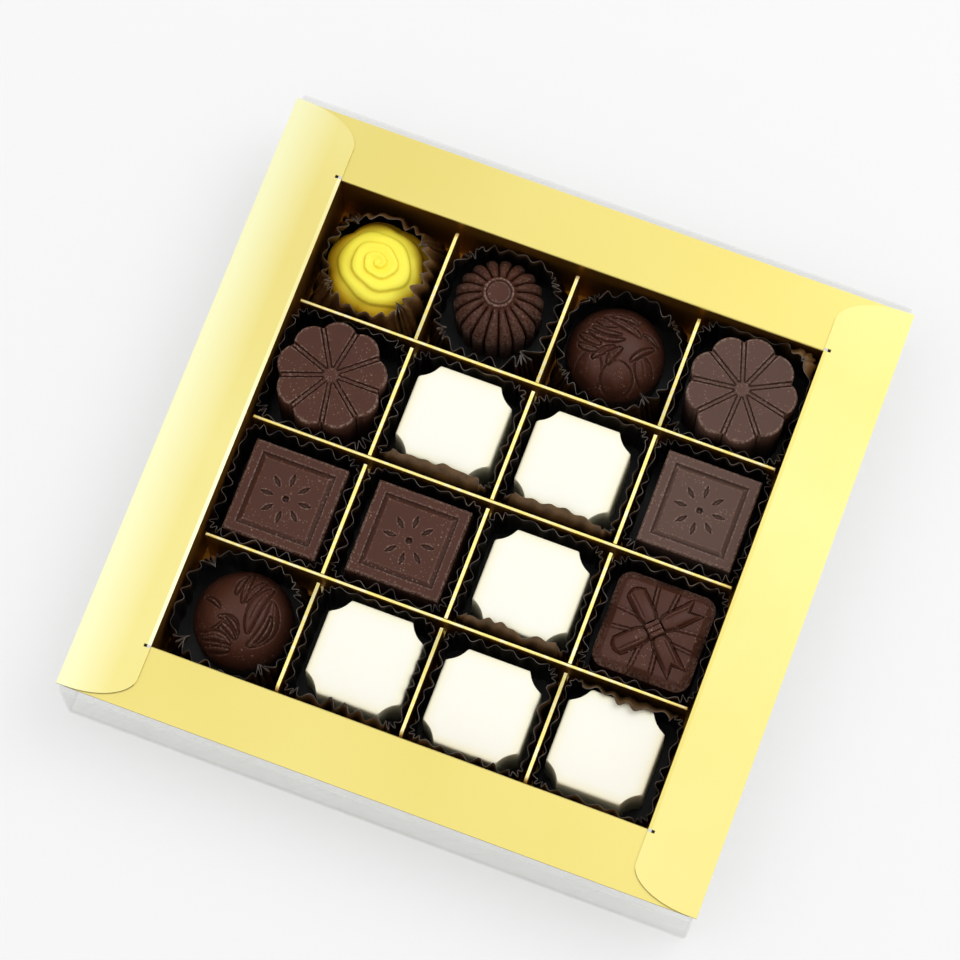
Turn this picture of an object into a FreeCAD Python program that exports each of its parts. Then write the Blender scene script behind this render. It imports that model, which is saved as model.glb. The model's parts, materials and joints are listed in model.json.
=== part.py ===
import FreeCAD, Part
import math
import os
import re

import Sketcher

# A square box of moulded chocolates: a clear folded base, a gold card tray with a divided well,
# and in every cell a fluted paper cup with one chocolate. Millimetres, +Z up, +X to the right and
# +Y to the back, with the origin at the middle of the base's underside.

SIZES = {
    # chocolates: width at the foot and height
    "rose_width": 26.8,
    "rose_height": 19.0,
    "daisy_width": 22.4,
    "daisy_height": 20.0,
    "leaf_dome_width": 24.6,
    "leaf_dome_height": 17.5,
    "flower_width": 27.6,
    "flower_height": 20.4,
    "tablet_width": 25.6,
    "tablet_height": 16.0,
    "bow_width": 25.6,
    "bow_height": 17.0,
    "white_square_width": 25.8,
    "white_square_height": 17.0,
    # chocolates: ornament
    "mould_draft": 2.5,
    "edge_bevel": 0.5,
    "bevel_angle": 45.0,
    "crown_flat": 0.7,
    "notch_radius": 7.5,
    "notch_offset": 1.8,
    "frame_width": 18.4,
    "frame_groove": 1.1,
    "frame_depth": 0.4,
    "almond_start": 3.4,
    "almond_end": 6.6,
    "almond_round": 2.4,
    "almond_depth": 0.5,
    "dot_width": 1.4,
    "lobe_radius": 4.8,
    "line_start": 2.0,
    "line_width": 1.4,
    "line_depth": 0.7,
    "ridge_width": 0.5,
    "ridge_rise": 0.5,
    "flute_radius": 1.1,
    "button_width": 7.8,
    "button_rise": 0.4,
    "button_root": 0.4,
    "leaf_groove": 0.9,
    "bow_corner": 4.0,
    "ribbon_width": 4.4,
    "ribbon_rise": 0.9,
    "loop_start": 1.2,
    "loop_end": 11.0,
    "loop_round": 6.6,
    "loop_rise": 1.6,
    "knot_width": 4.6,
    "knot_rise": 2.2,
    "knot_draft": 15.0,
    "rose_petal_radius": 8.2,
    "rose_petal_rise": 6.0,
    "rose_inner_radius": 6.0,
    "rose_inner_ring": 3.2,
    "rose_inner_rise": 10.4,
    "rose_bud_radius": 4.4,
    "rose_line_radius": 2.2,
    "rose_line_groove": 0.5,
    # fluted paper cups
    "paper_thickness": 0.2,
    "pleat_depth": 0.55,
    "cup_flare": 0.3,
    "cup_height": 17.0,
    "sweet_clearance": 0.2,
    "cell_clearance": 0.35,
    # divider strips
    "strip_thickness": 0.8,
    "strip_height": 18.9,
    "strip_end_gap": 1.2,
    "slot_clearance": 0.1,
    # gold card tray
    "card_thickness": 0.5,
    "rim_above_strips": 4.2,
    "side_rim_width": 17.8,
    "front_rim_width": 16.3,
    "ear_straight": 8.5,
    "ear_margin": 2.0,
    # clear base
    "film_thickness": 0.4,
    "side_overhang": 0.9,
    "front_gap": 1.2,
    "tuck_clearance": 0.5,
    "seat_gap": 0.1,
}

# The mould, the turn about Z in degrees and the lean to the right and to the back, as shares of the
# free play in the cup, of the chocolate in each cell: rows from back to front, columns from the left.
WHITE = "white_square"
LAYOUT = (
    (("rose", 0, 0, 0.3), ("daisy", 0, -0.3, 1), ("leaf_dome", 20, -0.7, 0.7), ("flower", 7, 0, 0)),
    (("flower", 20, 0, 0), (WHITE, 0, 0.1, 0.5), (WHITE, 0, -0.6, -0.2), ("tablet", 0, 0.4, 0.4)),
    (("tablet", 0, 0.4, -0.4), ("tablet", 0, 0.4, 0.3), (WHITE, 0, 0.5, -0.2), ("bow", 0, 0.2, 0.4)),
    (("leaf_dome", 10, 0.6, 0.7), (WHITE, 0, 1, 1), (WHITE, 0, -0.3, -0.5), (WHITE, 0, -1, 0.6)),
)
ROWS = len(LAYOUT)
COLUMNS = len(LAYOUT[0])
KINDS = sorted({sweet[0] for row in LAYOUT for sweet in row})

PLEATS = 40
CUP_SQUARENESS = 14
FLOWER_PETALS = 9
TABLET_PETALS = 8
DAISY_RINGS = 9
LEAF_GROOVES = 5
LEAF_FAN = 22
LEAF_ROOT_ANGLE = -30
ROSE_OUTER_PETALS = 6
ROSE_INNER_PETALS = 5

# Sizes that follow from the ones above.
DERIVED = {
    "cup_inner_half": "max(" + "; ".join(kind + "_width" for kind in KINDS) + ") / 2 + sweet_clearance",
    "cup_base_half": "cup_inner_half + pleat_depth + paper_thickness",
    "cup_top_half": "cup_base_half + cup_flare",
    "cell": "2 * (cup_top_half + cell_clearance)",
    "pitch": "cell + strip_thickness",
    "opening_length": f"{COLUMNS} * pitch - strip_thickness",
    "opening_depth": f"{ROWS} * pitch - strip_thickness",
    "rim_length": "opening_length + 2 * side_rim_width",
    "rim_depth": "opening_depth + 2 * front_rim_width",
    "well_floor": "film_thickness + card_thickness",
    "rim_top": "well_floor + strip_height + rim_above_strips",
    "side_rim_under": "rim_top - card_thickness",
    "front_rim_under": "rim_top - 2 * card_thickness",
    "base_length": "rim_length - 2 * side_overhang",
    "base_depth": "rim_depth + 2 * (front_gap + film_thickness)",
    "base_top": "side_rim_under - seat_gap",
    "tucked_length": "base_length - 2 * (film_thickness + tuck_clearance)",
    "sweet_floor": "well_floor + paper_thickness",
    "slot_width": "strip_thickness + 2 * slot_clearance",
    "slot_middle": "well_floor + strip_height / 2",
}

doc = FreeCAD.newDocument("chocolate_box")
sheet = doc.addObject("Spreadsheet::Sheet", "sizes")
cells = list(SIZES.items()) + [(alias, "=" + formula) for alias, formula in DERIVED.items()]
for line, (alias, content) in enumerate(cells, start=1):
    sheet.set(f"A{line}", alias)
    sheet.set(f"B{line}", str(content))
    sheet.setAlias(f"B{line}", alias)
doc.recompute()

UP = FreeCAD.Vector(0, 0, 1)
sub_parts = []


def size(alias):
    """A size from the sheet, as a number."""
    return float(getattr(sheet, alias))


def tied(formula):
    """A formula of sizes as an expression that points at the sheet's cells."""
    known = {alias for alias, content in cells}
    return re.sub(r"[a-z_]+", lambda m: "sizes." + m[0] if m[0] in known else m[0], str(formula))


def tie(thing, **formulas):
    """Binds properties of a document object to formulas of sizes."""
    for name, formula in formulas.items():
        thing.setExpression(name, tied(formula))


def place(thing, x=0, y=0, z=0, turn=0.0):
    """Puts an object at a formula of sizes, turned about Z by degrees."""
    thing.Placement = FreeCAD.Placement(FreeCAD.Vector(), FreeCAD.Rotation(UP, turn))
    for axis, formula in (("x", x), ("y", y), ("z", z)):
        thing.setExpression("Placement.Base." + axis, tied(formula))


def primitive(kind, name, **formulas):
    """A Part primitive with its sizes bound to the sheet."""
    thing = doc.addObject("Part::" + kind, name)
    tie(thing, **formulas)
    return thing


def plate(name, length, depth, height, x=0, y=0, z=0):
    """A box by formulas of its size, of the middle of its plan and of its underside."""
    thing = primitive("Box", name, Length=length, Width=depth, Height=height)
    place(thing, f"({x}) - ({length}) / 2", f"({y}) - ({depth}) / 2", z)
    return thing


def cut(name, base, tool):
    thing = doc.addObject("Part::Cut", name)
    thing.Base = base
    thing.Tool = tool
    return thing


def common(name, base, tool):
    thing = doc.addObject("Part::Common", name)
    thing.Base = base
    thing.Tool = tool
    return thing


def fuse(name, shapes):
    thing = doc.addObject("Part::MultiFuse", name)
    thing.Shapes = shapes
    return thing


def finish(thing, label):
    """Names an object as a sub-part of the box."""
    thing.Label = label
    sub_parts.append(thing)


# Clear base: a floor with four upright walls, folded from one sheet.


def make_base():
    wall = "base_top - film_thickness"
    inside = "base_depth - 2 * film_thickness"
    finish(plate("base_floor", "base_length", "base_depth", "film_thickness"), "base_floor")
    for label, side in (("base_front_wall", -1), ("base_back_wall", 1)):
        middle = f"{side} * (base_depth - film_thickness) / 2"
        finish(plate(label, "base_length", "film_thickness", wall, y=middle, z="film_thickness"), label)
    for label, side in (("base_left_wall", -1), ("base_right_wall", 1)):
        middle = f"{side} * (base_length - film_thickness) / 2"
        finish(plate(label, "film_thickness", inside, wall, x=middle, z="film_thickness"), label)


# Gold card tray: floor, walls and the two rims that lie under the side flaps' ears.


def make_tray():
    outer_length = "opening_length + 2 * card_thickness"
    outer_depth = "opening_depth + 2 * card_thickness"
    floor = plate("tray_floor", outer_length, outer_depth, "card_thickness", z="film_thickness")
    finish(floor, "tray_floor")
    for name, side in (("front", -1), ("back", 1)):
        middle = f"{side} * (opening_depth + card_thickness) / 2"
        height = "front_rim_under - well_floor"
        label = f"tray_{name}_wall"
        finish(plate(label, outer_length, "card_thickness", height, y=middle, z="well_floor"), label)
        middle = f"{side} * (opening_depth + front_rim_width) / 2"
        label = f"{name}_rim"
        rim = plate(
            label, "tucked_length", "front_rim_width", "card_thickness", y=middle, z="front_rim_under",
        )
        finish(rim, label)
    for name, side in (("left", -1), ("right", 1)):
        middle = f"{side} * (opening_length + card_thickness) / 2"
        height = "side_rim_under - well_floor"
        label = f"tray_{name}_wall"
        finish(plate(label, "card_thickness", "opening_depth", height, x=middle, z="well_floor"), label)


def make_rim_flap(name, side):
    """A side rim whose inner edge runs on past the well's corners and sweeps round to the outer edge."""
    blank = plate(
        name + "_blank", "side_rim_width", "rim_depth", "card_thickness",
        x=f"{side} * (opening_length + side_rim_width) / 2", z="side_rim_under",
    )
    straight = plate(
        name + "_straight", "side_rim_width", "opening_depth + 2 * ear_straight", "card_thickness",
        x=f"{side} * (opening_length + side_rim_width) / 2", z="side_rim_under",
    )
    edge = plate(
        name + "_edge", "ear_margin", "rim_depth", "card_thickness",
        x=f"{side} * (rim_length - ear_margin) / 2", z="side_rim_under",
    )
    sweeps = []
    for end in (-1, 1):
        oval = primitive(
            "Ellipse", f"{name}_oval_{end + 1}",
            MajorRadius="side_rim_width - ear_margin", MinorRadius="front_rim_width - ear_straight",
        )
        place(
            oval, f"{side} * (rim_length / 2 - ear_margin)",
            f"{end} * (opening_depth / 2 + ear_straight)", "side_rim_under",
        )
        sweep = doc.addObject("Part::Extrusion", f"{name}_sweep_{end + 1}")
        sweep.Base = oval
        sweep.DirMode = "Custom"
        sweep.Dir = UP
        sweep.Solid = True
        tie(sweep, LengthFwd="card_thickness")
        sweeps.append(sweep)
    outline = fuse(name + "_outline", [straight, edge] + sweeps)
    outline.Refine = True
    flap = common(name, blank, outline)
    flap.Refine = True
    finish(flap, name)


# Divider strips: half-lapped where they cross, those across the box slotted from below.


def make_strips():
    across = ("divider_across_back", "divider_across_middle", "divider_across_front")
    along = ("divider_along_left", "divider_along_middle", "divider_along_right")
    half = "strip_height / 2 + slot_clearance"
    for row, label in enumerate(across, start=1):
        y = f"{ROWS / 2 - row} * pitch"
        length = "opening_length - 2 * strip_end_gap"
        strip = plate(label + "_blank", length, "strip_thickness", "strip_height", y=y, z="well_floor")
        slots = []
        for column in range(1, COLUMNS):
            x = f"{column - COLUMNS / 2} * pitch"
            slot = f"{label}_slot_{column}"
            slots.append(plate(slot, "slot_width", "2 * strip_thickness", half, x, y, "well_floor"))
        finish(cut(label, strip, fuse(label + "_slots", slots)), label)
    for column, label in enumerate(along, start=1):
        x = f"{column - COLUMNS / 2} * pitch"
        depth = "opening_depth - 2 * strip_end_gap"
        strip = plate(label + "_blank", "strip_thickness", depth, "strip_height", x=x, z="well_floor")
        slots = []
        for row in range(1, ROWS):
            y = f"{ROWS / 2 - row} * pitch"
            slot = f"{label}_slot_{row}"
            slots.append(plate(slot, "2 * strip_thickness", "slot_width", half, x, y, "slot_middle"))
        finish(cut(label, strip, fuse(label + "_slots", slots)), label)


# Paper cups: a pleated wall round a squarish plan, flaring a little to the top.


def pleated_outline(half, squareness):
    """Corners of a zigzag round a squarish plan, whose inner points lie on the plan."""
    points = []
    for step in range(2 * PLEATS):
        angle = math.pi * step / PLEATS
        spread = abs(math.cos(angle)) ** squareness + abs(math.sin(angle)) ** squareness
        radius = half / spread ** (1 / squareness) + size("pleat_depth") * (step % 2)
        points.append((radius, angle))
    return points


def ring(outline, grow, thin, z):
    """An outline at a height, thinned and then grown about the cup's axis."""
    points = []
    for radius, angle in outline:
        reach = grow * (radius - thin)
        points.append(FreeCAD.Vector(reach * math.cos(angle), reach * math.sin(angle), z))
    return points


def polygon(points):
    return Part.makePolygon(points + points[:1])


def band(lower, upper):
    """Flat faces between two rings of points."""
    faces = []
    for step in range(len(lower)):
        following = (step + 1) % len(lower)
        corners = [lower[step], lower[following], upper[following], upper[step]]
        faces.append(Part.Face(polygon(corners)))
    return faces


def cup_shape():
    paper = size("paper_thickness")
    height = size("cup_height")
    grow_to = size("cup_top_half") / size("cup_base_half")
    floor_grow = 1 + (grow_to - 1) * paper / height
    outline = pleated_outline(size("cup_inner_half") + paper, CUP_SQUARENESS)
    foot = ring(outline, 1, 0, 0)
    brim = ring(outline, grow_to, 0, height)
    inner_foot = ring(outline, floor_grow, paper, paper)
    inner_brim = ring(outline, grow_to, paper, height)
    faces = band(foot, brim) + band(inner_foot, inner_brim)
    faces += [Part.Face(polygon(foot)), Part.Face(polygon(inner_foot))]
    faces.append(Part.Face([polygon(brim), polygon(inner_brim)]))
    solid = Part.Solid(Part.makeShell(faces))
    solid.fix(1e-6, 1e-6, 1e-6)
    if solid.Volume < 0:
        solid.reverse()
    return solid


def make_cup(label, x, y):
    cup = doc.addObject("Part::Feature", label)
    cup.Shape = cup_shape()
    place(cup, x, y, "well_floor")
    finish(cup, label)


# Sketches for the moulded chocolates.


def sketch_on(body, name, z=0, turn=0):
    """An empty sketch on the body's own ground plane, turned by degrees and raised by a formula of sizes."""
    sketch = body.newObject("Sketcher::SketchObject", name)
    ground = [plane for plane in body.Origin.OriginFeatures if plane.Role == "XY_Plane"][0]
    sketch.AttachmentSupport = [(ground, "")]
    sketch.MapMode = "FlatFace"
    sketch.AttachmentOffset = FreeCAD.Placement(FreeCAD.Vector(), FreeCAD.Rotation(UP, turn))
    sketch.setExpression("AttachmentOffset.Base.z", tied(z))
    return sketch


def bind(sketch, constraint, name, formula):
    """Adds a named dimension to a sketch and binds it to a formula of sizes."""
    index = sketch.addConstraint(constraint)
    sketch.renameConstraint(index, name)
    sketch.setExpression("Constraints." + name, tied(formula))


def add_box_lines(sketch, low, high):
    """Four joined level and upright lines between two corners. Gives the first line's number."""
    corners = [FreeCAD.Vector(x, y, 0) for x, y in (low, (high[0], low[1]), high, (low[0], high[1]))]
    first = sketch.GeometryCount
    for start, end in zip(corners, corners[1:] + corners[:1]):
        sketch.addGeometry(Part.LineSegment(start, end))
    for side in range(4):
        sketch.addConstraint(Sketcher.Constraint("Coincident", first + side, 2, first + (side + 1) % 4, 1))
        straight = "Horizontal" if side % 2 == 0 else "Vertical"
        sketch.addConstraint(Sketcher.Constraint(straight, first + side))
    return first


def add_rectangle(sketch, name, width, depth):
    """A rectangle centred on the sketch's origin."""
    first = add_box_lines(sketch, (-5, -4), (5, 4))
    sketch.addConstraint(Sketcher.Constraint("Symmetric", first, 1, first + 1, 2, -1, 1))
    bind(sketch, Sketcher.Constraint("DistanceX", first, 1, first, 2, 10), name + "_width", width)
    bind(sketch, Sketcher.Constraint("DistanceY", first + 1, 1, first + 1, 2, 8), name + "_depth", depth)


def add_spoke(sketch, name, start, end, width):
    """A rectangle along X from start to end, even about the X axis."""
    first = add_box_lines(sketch, (2, -1), (9, 1))
    bind(sketch, Sketcher.Constraint("DistanceY", first, 1, -1, 1, 1), name + "_half", f"({width}) / 2")
    bind(sketch, Sketcher.Constraint("DistanceX", -1, 1, first, 1, 2), name + "_start", start)
    bind(sketch, Sketcher.Constraint("DistanceX", -1, 1, first, 2, 9), name + "_end", end)
    bind(sketch, Sketcher.Constraint("DistanceY", first + 1, 1, first + 1, 2, 2), name + "_width", width)


def add_circle(sketch, name, radius, x=0, y=0):
    """A circle at a formula of sizes along X and Y, both zero or on the plus side."""
    index = sketch.addGeometry(Part.Circle(FreeCAD.Vector(6, 5, 0), UP, 2.0))
    bind(sketch, Sketcher.Constraint("Radius", index, 2.0), name + "_radius", radius)
    if x == 0 and y == 0:
        sketch.addConstraint(Sketcher.Constraint("Coincident", index, 3, -1, 1))
        return
    bind(sketch, Sketcher.Constraint("DistanceX", -1, 1, index, 3, 6), name + "_x", x)
    if y == 0:
        sketch.addConstraint(Sketcher.Constraint("PointOnObject", index, 3, -1))
    else:
        bind(sketch, Sketcher.Constraint("DistanceY", -1, 1, index, 3, 5), name + "_y", y)


def add_almond(sketch, start, end, radius):
    """Two equal arcs from start to end along X, meeting in points."""
    low, high, reach = 3.0, 7.0, 3.0
    middle = (low + high) / 2
    offset = math.sqrt(reach**2 - (high - middle) ** 2)
    half = math.asin((high - middle) / reach)
    for side in (-1, 1):
        circle = Part.Circle(FreeCAD.Vector(middle, -side * offset, 0), UP, reach)
        upright = side * math.pi / 2
        sketch.addGeometry(Part.ArcOfCircle(circle, upright - half, upright + half))
    sketch.addConstraint(Sketcher.Constraint("Coincident", 0, 1, 1, 2))
    sketch.addConstraint(Sketcher.Constraint("Coincident", 0, 2, 1, 1))
    sketch.addConstraint(Sketcher.Constraint("PointOnObject", 0, 1, -1))
    sketch.addConstraint(Sketcher.Constraint("PointOnObject", 0, 2, -1))
    sketch.addConstraint(Sketcher.Constraint("Equal", 0, 1))
    bind(sketch, Sketcher.Constraint("DistanceX", -1, 1, 0, 1, low), "almond_start", start)
    bind(sketch, Sketcher.Constraint("DistanceX", -1, 1, 0, 2, high), "almond_end", end)
    bind(sketch, Sketcher.Constraint("Radius", 0, reach), "almond_radius", radius)


def pad(body, name, sketch, length, taper=0):
    feature = body.newObject("PartDesign::Pad", name)
    feature.Profile = sketch
    tie(feature, Length=length, TaperAngle=taper)
    return feature


def pocket(body, name, sketch, depth):
    feature = body.newObject("PartDesign::Pocket", name)
    feature.Profile = sketch
    tie(feature, Length=depth)
    return feature


def polar(body, name, sketch, originals, count):
    """Repeats features evenly round the Z axis."""
    doc.recompute()
    pattern = body.newObject("PartDesign::PolarPattern", name)
    pattern.Originals = originals
    pattern.Axis = (sketch, ["N_Axis"])
    pattern.Angle = 360
    pattern.Occurrences = count
    body.Tip = pattern


# Square chocolates, narrowing upwards from the foot by the mould's draft.


def make_tapered_block(body, kind):
    """The square body of a chocolate, with a bevel round its top face."""
    foot = sketch_on(body, "foot")
    add_rectangle(foot, "foot", kind + "_width", kind + "_width")
    rise = f"({kind}_height - edge_bevel)"
    pad(body, "block", foot, rise, "-mould_draft")
    shoulder = sketch_on(body, "shoulder", rise)
    width = f"({kind}_width - 2 * {rise} * tan(mould_draft))"
    add_rectangle(shoulder, "shoulder", width, width)
    pad(body, "bevel", shoulder, "edge_bevel", "-bevel_angle")


def make_white_square(body):
    make_tapered_block(body, "white_square")
    corner = sketch_on(body, "corner", "white_square_height")
    centre = "white_square_width / 2 + notch_offset"
    add_circle(corner, "notch", "notch_radius", centre, centre)
    notch = pocket(body, "notch", corner, "white_square_height")
    polar(body, "notches", corner, [notch], 4)


def make_tablet(body):
    make_tapered_block(body, "tablet")
    frame = sketch_on(body, "frame", "tablet_height")
    add_rectangle(frame, "outer", "frame_width", "frame_width")
    add_rectangle(frame, "inner", "frame_width - 2 * frame_groove", "frame_width - 2 * frame_groove")
    pocket(body, "frame_groove", frame, "frame_depth")
    dot = sketch_on(body, "dot", "tablet_height")
    add_circle(dot, "dot", "dot_width / 2")
    pocket(body, "dot_hole", dot, "almond_depth")
    almond = sketch_on(body, "almond", "tablet_height")
    add_almond(almond, "almond_start", "almond_end", "almond_round")
    petal = pocket(body, "petal", almond, "almond_depth")
    polar(body, "petals", almond, [petal], TABLET_PETALS)


def make_bow(body):
    """A rounded square with crossing ribbons, four loops and a knot in relief."""
    relief = "(bow_height - knot_rise)"
    foot = sketch_on(body, "foot")
    add_rectangle(foot, "long", "bow_width", "bow_width - 2 * bow_corner")
    pad(body, "long_block", foot, relief)
    wide = sketch_on(body, "wide")
    add_rectangle(wide, "wide", "bow_width - 2 * bow_corner", "bow_width")
    pad(body, "wide_block", wide, relief)
    corner = sketch_on(body, "corner")
    centre = "bow_width / 2 - bow_corner"
    add_circle(corner, "corner", "bow_corner", centre, centre)
    post = pad(body, "corner_post", corner, relief)
    polar(body, "corner_posts", corner, [post], 4)
    ribbon = sketch_on(body, "ribbon", relief)
    add_rectangle(ribbon, "ribbon", "bow_width - 2 * edge_bevel", "ribbon_width")
    band_pad = pad(body, "ribbon_band", ribbon, "ribbon_rise")
    polar(body, "ribbons", ribbon, [band_pad], 4)
    loop = sketch_on(body, "loop", relief, 45)
    add_almond(loop, "loop_start", "loop_end", "loop_round")
    loop_pad = pad(body, "loop_pad", loop, "loop_rise")
    polar(body, "loops", loop, [loop_pad], 4)
    knot = sketch_on(body, "knot", relief)
    add_circle(knot, "knot", "knot_width / 2")
    body.Tip = pad(body, "knot_pad", knot, "knot_rise", "-knot_draft")


def make_flower(body):
    """Nine round petals about a core, each marked off by a ridge between two lines."""
    reach = "(flower_width / 2 - lobe_radius)"
    shoulder = "(flower_height - edge_bevel)"
    core = sketch_on(body, "core")
    add_circle(core, "core", reach)
    pad(body, "core_pad", core, "flower_height")
    lobe = sketch_on(body, "lobe")
    add_circle(lobe, "lobe", "lobe_radius", reach)
    stem = pad(body, "lobe_pad", lobe, shoulder)
    top = sketch_on(body, "lobe_top", shoulder)
    add_circle(top, "lobe_top", "lobe_radius", reach)
    crown = pad(body, "lobe_bevel", top, "edge_bevel", "-bevel_angle")
    polar(body, "lobes", lobe, [stem, crown], FLOWER_PETALS)
    between = 180 / FLOWER_PETALS
    line = sketch_on(body, "line", "flower_height", between)
    add_spoke(line, "line", "line_start", "flower_width / 2", "line_width")
    groove = pocket(body, "line_pocket", line, "line_depth")
    polar(body, "lines", line, [groove], FLOWER_PETALS)
    ridge = sketch_on(body, "ridge", "flower_height - line_depth", between)
    add_spoke(ridge, "ridge", "line_start", f"{reach} + lobe_radius / 3", "ridge_width")
    rib = pad(body, "ridge_pad", ridge, "ridge_rise")
    polar(body, "ridges", ridge, [rib], FLOWER_PETALS)


# Round chocolates, built from spheres, cylinders and rings.


def make_crown(name, kind):
    """A ball trimmed by an upright cylinder, on a round stand. Gives it with the formulas of its ball."""
    radius = f"({kind}_width / 2 + crown_flat)"
    centre = f"({kind}_height - {radius})"
    ball = primitive("Sphere", name + "_ball", Radius=radius)
    place(ball, z=centre)
    drum = primitive("Cylinder", name + "_drum", Radius=kind + "_width / 2", Height=kind + "_height")
    cap = common(name + "_cap", ball, drum)
    stand = primitive("Cylinder", name + "_stand", Radius=kind + "_width / 2", Height=centre)
    dome = fuse(name + "_dome", [cap, stand])
    dome.Refine = True
    return dome, radius, centre


def carve(name, dome, radius, centre, tube, normals):
    """Cuts round grooves along great circles of a dome, given by their normals."""
    for step, normal in enumerate(normals):
        groove = primitive("Torus", f"{name}_groove_{step}", Radius1=radius, Radius2=tube)
        place(groove, z=centre)
        groove.Placement.Rotation = FreeCAD.Rotation(UP, normal)
        dome = cut(f"{name}_carved_{step}", dome, groove)
    return dome


def make_daisy(name):
    dome, radius, centre = make_crown(name, "daisy")
    seat = "button_width / 2 - button_root"
    bore = primitive("Cylinder", name + "_bore", Radius=seat, Height="daisy_height")
    place(bore, z="daisy_height / 2")
    dome = cut(name + "_bored", dome, bore)
    normals = []
    for step in range(DAISY_RINGS):
        angle = math.pi * (step + 0.5) / DAISY_RINGS
        normals.append(FreeCAD.Vector(math.cos(angle), math.sin(angle), 0))
    fluted = carve(name, dome, radius, centre, "flute_radius", normals)
    button = primitive(
        "Cylinder", name + "_button", Radius="button_width / 2", Height="daisy_height / 2 + button_root",
    )
    place(button, z="daisy_height / 2 - button_root")
    return fuse(name + "_daisy", [fluted, button])


def make_leaf_dome(name):
    """A dome with grooves that fan out like long leaves from a root at its front."""
    dome, radius, centre = make_crown(name, "leaf_dome")
    tilt = math.radians(LEAF_ROOT_ANGLE)
    root = FreeCAD.Vector(0, -math.cos(tilt), math.sin(tilt))
    sideways = FreeCAD.Vector(1, 0, 0)
    normals = []
    for step in range(LEAF_GROOVES):
        fan = FreeCAD.Rotation(root, LEAF_FAN * (step - (LEAF_GROOVES - 1) / 2))
        normals.append(fan.multVec(sideways))
    return carve(name, dome, radius, centre, "leaf_groove", normals)


def make_rose(name):
    """Two tiers of round petals about a bud with a spiral line."""
    outer_ring = "rose_width / 2 - rose_petal_radius"
    tiers = (
        ("outer", ROSE_OUTER_PETALS, "rose_petal_radius", outer_ring, "rose_petal_rise"),
        ("inner", ROSE_INNER_PETALS, "rose_inner_radius", "rose_inner_ring", "rose_inner_rise"),
    )
    petals = []
    for tier, count, radius, reach, rise in tiers:
        for step in range(count):
            angle = 360 * step / count
            petal = primitive("Sphere", f"{name}_{tier}_{step}", Radius=radius)
            place(petal, f"({reach}) * cos({angle})", f"({reach}) * sin({angle})", rise)
            petals.append(petal)
    bud = primitive("Sphere", name + "_bud", Radius="rose_bud_radius")
    place(bud, z="rose_height - rose_bud_radius")
    core = primitive("Cylinder", name + "_core", Radius=outer_ring, Height="rose_inner_rise")
    line = primitive("Torus", name + "_line", Radius1="rose_line_radius", Radius2="rose_line_groove")
    drop = "rose_bud_radius - sqrt(rose_bud_radius ^ 2 - rose_line_radius ^ 2)"
    place(line, z=f"rose_height - ({drop})")
    bloom = cut(name + "_bloom", fuse(name + "_petals", petals + [bud, core]), line)
    room = primitive("Cylinder", name + "_room", Radius="rose_width", Height="rose_height")
    return common(name + "_rose", bloom, room)


BODY_KINDS = {
    "bow": make_bow,
    "flower": make_flower,
    "tablet": make_tablet,
    "white_square": make_white_square,
}
SOLID_KINDS = {
    "daisy": make_daisy,
    "leaf_dome": make_leaf_dome,
    "rose": make_rose,
}


def make_sweet(kind, label):
    if kind in BODY_KINDS:
        body = doc.addObject("PartDesign::Body", label)
        BODY_KINDS[kind](body)
        return body
    return SOLID_KINDS[kind](label)


def make_cells():
    """A paper cup with its chocolate in every cell."""
    for row, sweets in enumerate(LAYOUT):
        for column, (kind, turn, lean_right, lean_back) in enumerate(sweets):
            spot = f"r{row + 1}c{column + 1}"
            x = f"{column - (COLUMNS - 1) / 2} * pitch"
            y = f"{(ROWS - 1) / 2 - row} * pitch"
            make_cup("cup_" + spot, x, y)
            play = f"(cup_inner_half - sweet_clearance - {kind}_width / 2)"
            sweet = make_sweet(kind, f"{kind}_{spot}")
            place(sweet, f"{x} + {lean_right} * {play}", f"{y} + {lean_back} * {play}", "sweet_floor", turn)
            finish(sweet, f"{kind}_{spot}")


def write_parts():
    """Checks every object and writes each sub-part to its own file."""
    doc.recompute()
    for thing in doc.Objects:
        if {"Invalid", "Error"} & set(thing.State):
            raise RuntimeError(f"{thing.Label} did not build: {thing.State}")
    for thing in sub_parts:
        if thing.Shape.isNull() or not thing.Shape.isValid() or len(thing.Shape.Solids) != 1:
            raise RuntimeError(f"{thing.Label} is not one sound solid")
    os.makedirs("parts", exist_ok=True)
    for thing in sub_parts:
        thing.Shape.exportStep(f"parts/{thing.Label}.step")
        print(f"{thing.Label}: {thing.Shape.Volume:.1f} mm3")


make_base()
make_tray()
make_rim_flap("left_rim", -1)
make_rim_flap("right_rim", 1)
make_strips()
make_cells()
write_parts()
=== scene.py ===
import json
import math
import random

import bmesh
import bpy
from bpy.props import FloatProperty, FloatVectorProperty, IntProperty, PointerProperty
from mathutils import Matrix, Quaternion, Vector, noise


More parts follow.
